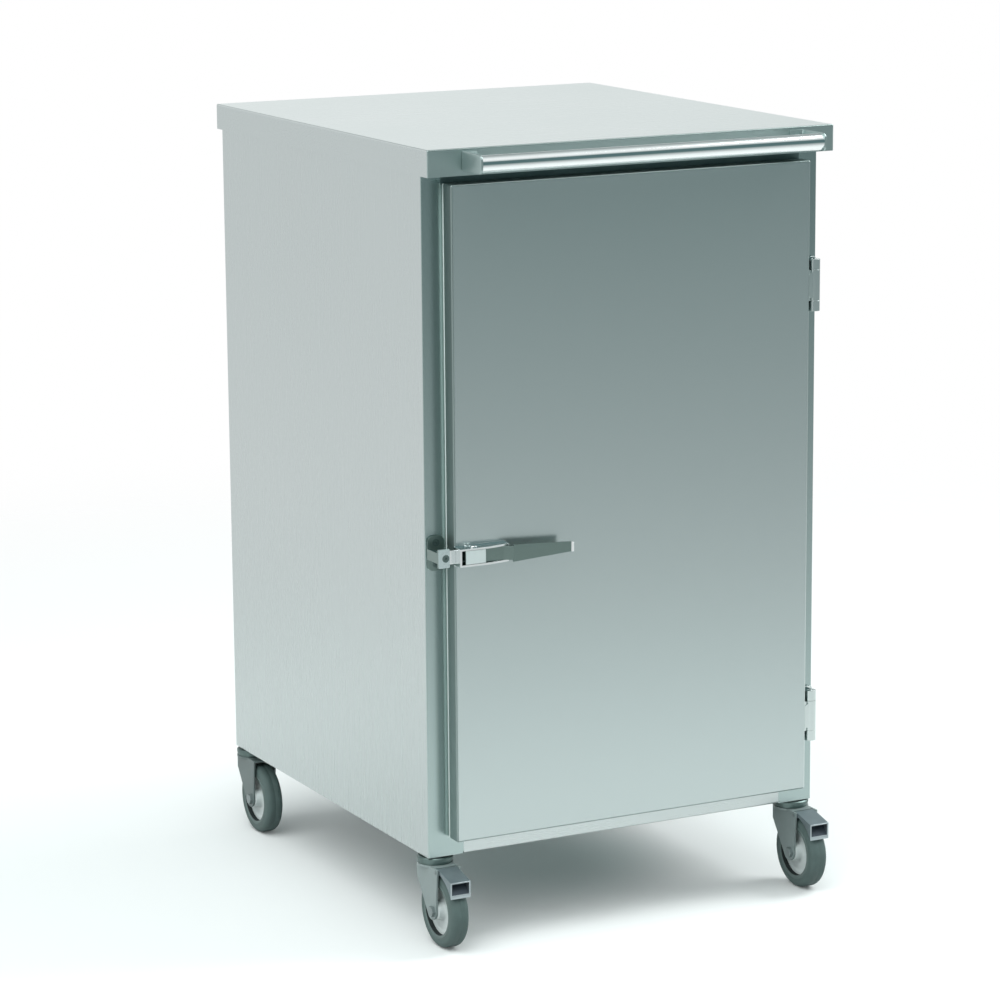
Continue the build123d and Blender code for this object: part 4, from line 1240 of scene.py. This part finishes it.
def floor_material(radius):
    """A white floor: its own shadow and a painted shadow near the trolley, an even glow
    beyond, thinning out far away.
    """
    material, tree, shader = new_material("studio_floor")
    shader.inputs["Roughness"].default_value = 0.9
    shader.inputs["Specular IOR Level"].default_value = 0.0
    shader.inputs["Emission Color"].default_value = (1, 1, 1, 1)
    rays = add_node(tree, "ShaderNodeLightPath")
    mirrored = larger(tree, rays.outputs["Is Glossy Ray"], rays.outputs["Is Transmission Ray"])
    seen = larger(tree, rays.outputs["Is Camera Ray"], mirrored)
    place = add_node(tree, "ShaderNodeTexCoord")
    reach = add_node(tree, "ShaderNodeVectorMath", operation="LENGTH")
    tree.links.new(place.outputs["Object"], reach.inputs[0])
    reach = reach.outputs["Value"]
    glow = eased(tree, reach, 1.2, 3.2)
    # painted shadow: the floor is darker at its centre, under the trolley
    clear_of_painted_shadow = eased(tree, reach, 0.04, 0.24)
    to_other_rays, in_mirrors = (0.5, 0.5, 0.5), (0.85, 0.86, 0.857)
    to_camera, core = (0.945, 0.985, 0.98), (0.56, 0.715, 0.705)
    paint = mixed(tree, mirrored, to_other_rays, in_mirrors)
    paint = mixed(tree, rays.outputs["Is Camera Ray"], paint, to_camera)
    paint = mixed(tree, clear_of_painted_shadow, core, paint)
    paint = mixed(tree, glow, paint, (0, 0, 0))
    tree.links.new(paint, shader.inputs["Base Color"])
    tree.links.new(times(tree, glow, seen), shader.inputs["Emission Strength"])
    # Share of the radius and how solid the floor is there
    near = ((0.06, 0.94), (0.124, 0.70), (0.224, 0.44), (0.36, 0.27))
    far = ((0.5, 0.19), (0.75, 0.12), (1.0, 0.0))
    stops = [(share, (solid, solid, solid)) for share, solid in near + far]
    solid = colour_ramp(tree, times(tree, reach, 1 / radius), stops)
    tree.links.new(solid, shader.inputs["Alpha"])
    return material


def studio_world():
    """A pale backdrop behind the trolley, a dim room before it and bright panels above."""
    world = bpy.data.worlds.new("soft_studio")
    world.use_nodes = True
    tree = world.node_tree
    background = tree.nodes["Background"]
    place = add_node(tree, "ShaderNodeTexCoord")
    parts = add_node(tree, "ShaderNodeSeparateXYZ")
    tree.links.new(place.outputs["Generated"], parts.inputs["Vector"])
    facing = add_node(tree, "ShaderNodeVectorMath", operation="DOT_PRODUCT")
    facing.inputs[1].default_value = CAMERA_SIDE
    tree.links.new(place.outputs["Generated"], facing.inputs[0])
    angle = add_node(tree, "ShaderNodeMath", operation="ARCTAN2")
    tree.links.new(parts.outputs["Z"], angle.inputs[0])
    tree.links.new(facing.outputs["Value"], angle.inputs[1])
    turn = add_node(tree, "ShaderNodeMapRange")
    turn.inputs["From Min"].default_value = -math.pi
    turn.inputs["From Max"].default_value = math.pi
    tree.links.new(angle.outputs["Value"], turn.inputs["Value"])
    room = (0.10, 0.17, 0.175)
    # Degrees up from the camera's side, over the top and down behind, and the colour there
    by_angle = (
        (-180, (0.77, 0.78, 0.785)),
        (-90, (0.5, 0.53, 0.53)),
        (-30, room),
        (26, room),
        (40, (0.82, 0.86, 0.86)),
        (56, (1, 1, 1)),
        (72, (0.84, 0.88, 0.88)),
        (88, (0.56, 0.6, 0.6)),
        (101, (0.42, 0.46, 0.46)),
        (138, (0.25, 0.29, 0.29)),
        (154, (0.7, 0.73, 0.73)),
        (164, (1, 1, 1)),
        (180, (1, 1, 1)),
    )
    stops = [((degrees + 180) / 360, colour) for degrees, colour in by_angle]
    sky = colour_ramp(tree, turn.outputs["Result"], stops)
    rays = add_node(tree, "ShaderNodeLightPath")
    straight = larger(tree, rays.outputs["Is Camera Ray"], rays.outputs["Is Transmission Ray"])
    tree.links.new(mixed(tree, straight, sky, (1, 1, 1)), background.inputs["Color"])
    return world


def soft_lamp(name, power, place, size):
    data = bpy.data.lights.new(name, "AREA")
    data.shape = "RECTANGLE"
    data.size, data.size_y = size
    data.energy = power
    lamp = bpy.data.objects.new(name, data)
    lamp.location = place
    lamp.rotation_euler = (LAMP_TARGET - Vector(place)).to_track_quat("-Z", "Y").to_euler()
    bpy.context.scene.collection.objects.link(lamp)
    return lamp


def photo_camera(lens):
    """The camera at the photograph's place, turn and roll."""
    data = bpy.data.cameras.new("photo_camera")
    data.lens = lens
    data.sensor_width = 36
    data.sensor_fit = "HORIZONTAL"
    data.shift_x, data.shift_y = CAMERA_SHIFT
    data.clip_end = 100
    camera = bpy.data.objects.new("photo_camera", data)
    tilt = Matrix.Rotation(math.pi / 2 + CAMERA_PITCH, 4, "X")
    turn = Matrix.Rotation(CAMERA_YAW, 4, "Z") @ tilt @ Matrix.Rotation(CAMERA_ROLL, 4, "Z")
    camera.matrix_world = Matrix.Translation(CAMERA_PLACE) @ turn
    bpy.context.scene.collection.objects.link(camera)
    bpy.context.scene.camera = camera


class BuildStage(bpy.types.Operator):
    """Adds the white floor, the soft lamps, the surroundings and the camera"""

    bl_idname = "trolley.build_stage"
    bl_label = "Studio and camera"

    def execute(self, context):
        stage = context.scene.trolley_stage
        deselect_all()
        radius = stage.floor_radius
        bpy.ops.mesh.primitive_circle_add(vertices=96, radius=radius, fill_type="NGON")
        floor = context.object
        floor.name = floor.data.name = "studio_floor"
        floor.data.materials.append(floor_material(radius))
        left = soft_lamp("left_lamp", stage.left_power, **LEFT_LAMP)
        right = soft_lamp("right_lamp", stage.right_power, **RIGHT_LAMP)
        context.scene.world = studio_world()
        photo_camera(stage.lens)
        context.scene.view_settings.view_transform = "Standard"
        return {"FINISHED"}


STEPS = (
    DressCabinet,
    DressDoor,
    MakePushBar,
    MakeTyres,
    MakeWheelCentres,
    MakeForks,
    MakeLatch,
    MakeHinges,
    BuildStage,
)


class TrolleyPanel(bpy.types.Panel):
    """Lists the trolley's steps and the sizes and colours behind them"""

    bl_idname = "VIEW3D_PT_trolley"
    bl_label = "Sterile material trolley"
    bl_space_type = "VIEW_3D"
    bl_region_type = "UI"
    bl_category = "Trolley"

    def draw(self, context):
        for group in GROUPS:
            box = self.layout.box()
            values = getattr(context.scene, group)
            for name in values.__annotations__:
                box.prop(values, name)
        for step in STEPS:
            self.layout.operator(step.bl_idname)


GROUPS = {
    "trolley_steel": TrolleySteel,
    "trolley_bar": TrolleyBar,
    "trolley_wheels": TrolleyWheels,
    "trolley_stage": TrolleyStage,
}
CLASSES = (*GROUPS.values(), *STEPS, TrolleyPanel)


def register():
    for kind in CLASSES:
        bpy.utils.register_class(kind)
    for name, kind in GROUPS.items():
        setattr(bpy.types.Scene, name, PointerProperty(type=kind))


def unregister():
    for name in GROUPS:
        delattr(bpy.types.Scene, name)
    for kind in reversed(CLASSES):
        bpy.utils.unregister_class(kind)


def main():
    register()
    for step in STEPS:
        group, name = step.bl_idname.split(".")
        getattr(getattr(bpy.ops, group), name)()


if __name__ == "__main__":
    main()
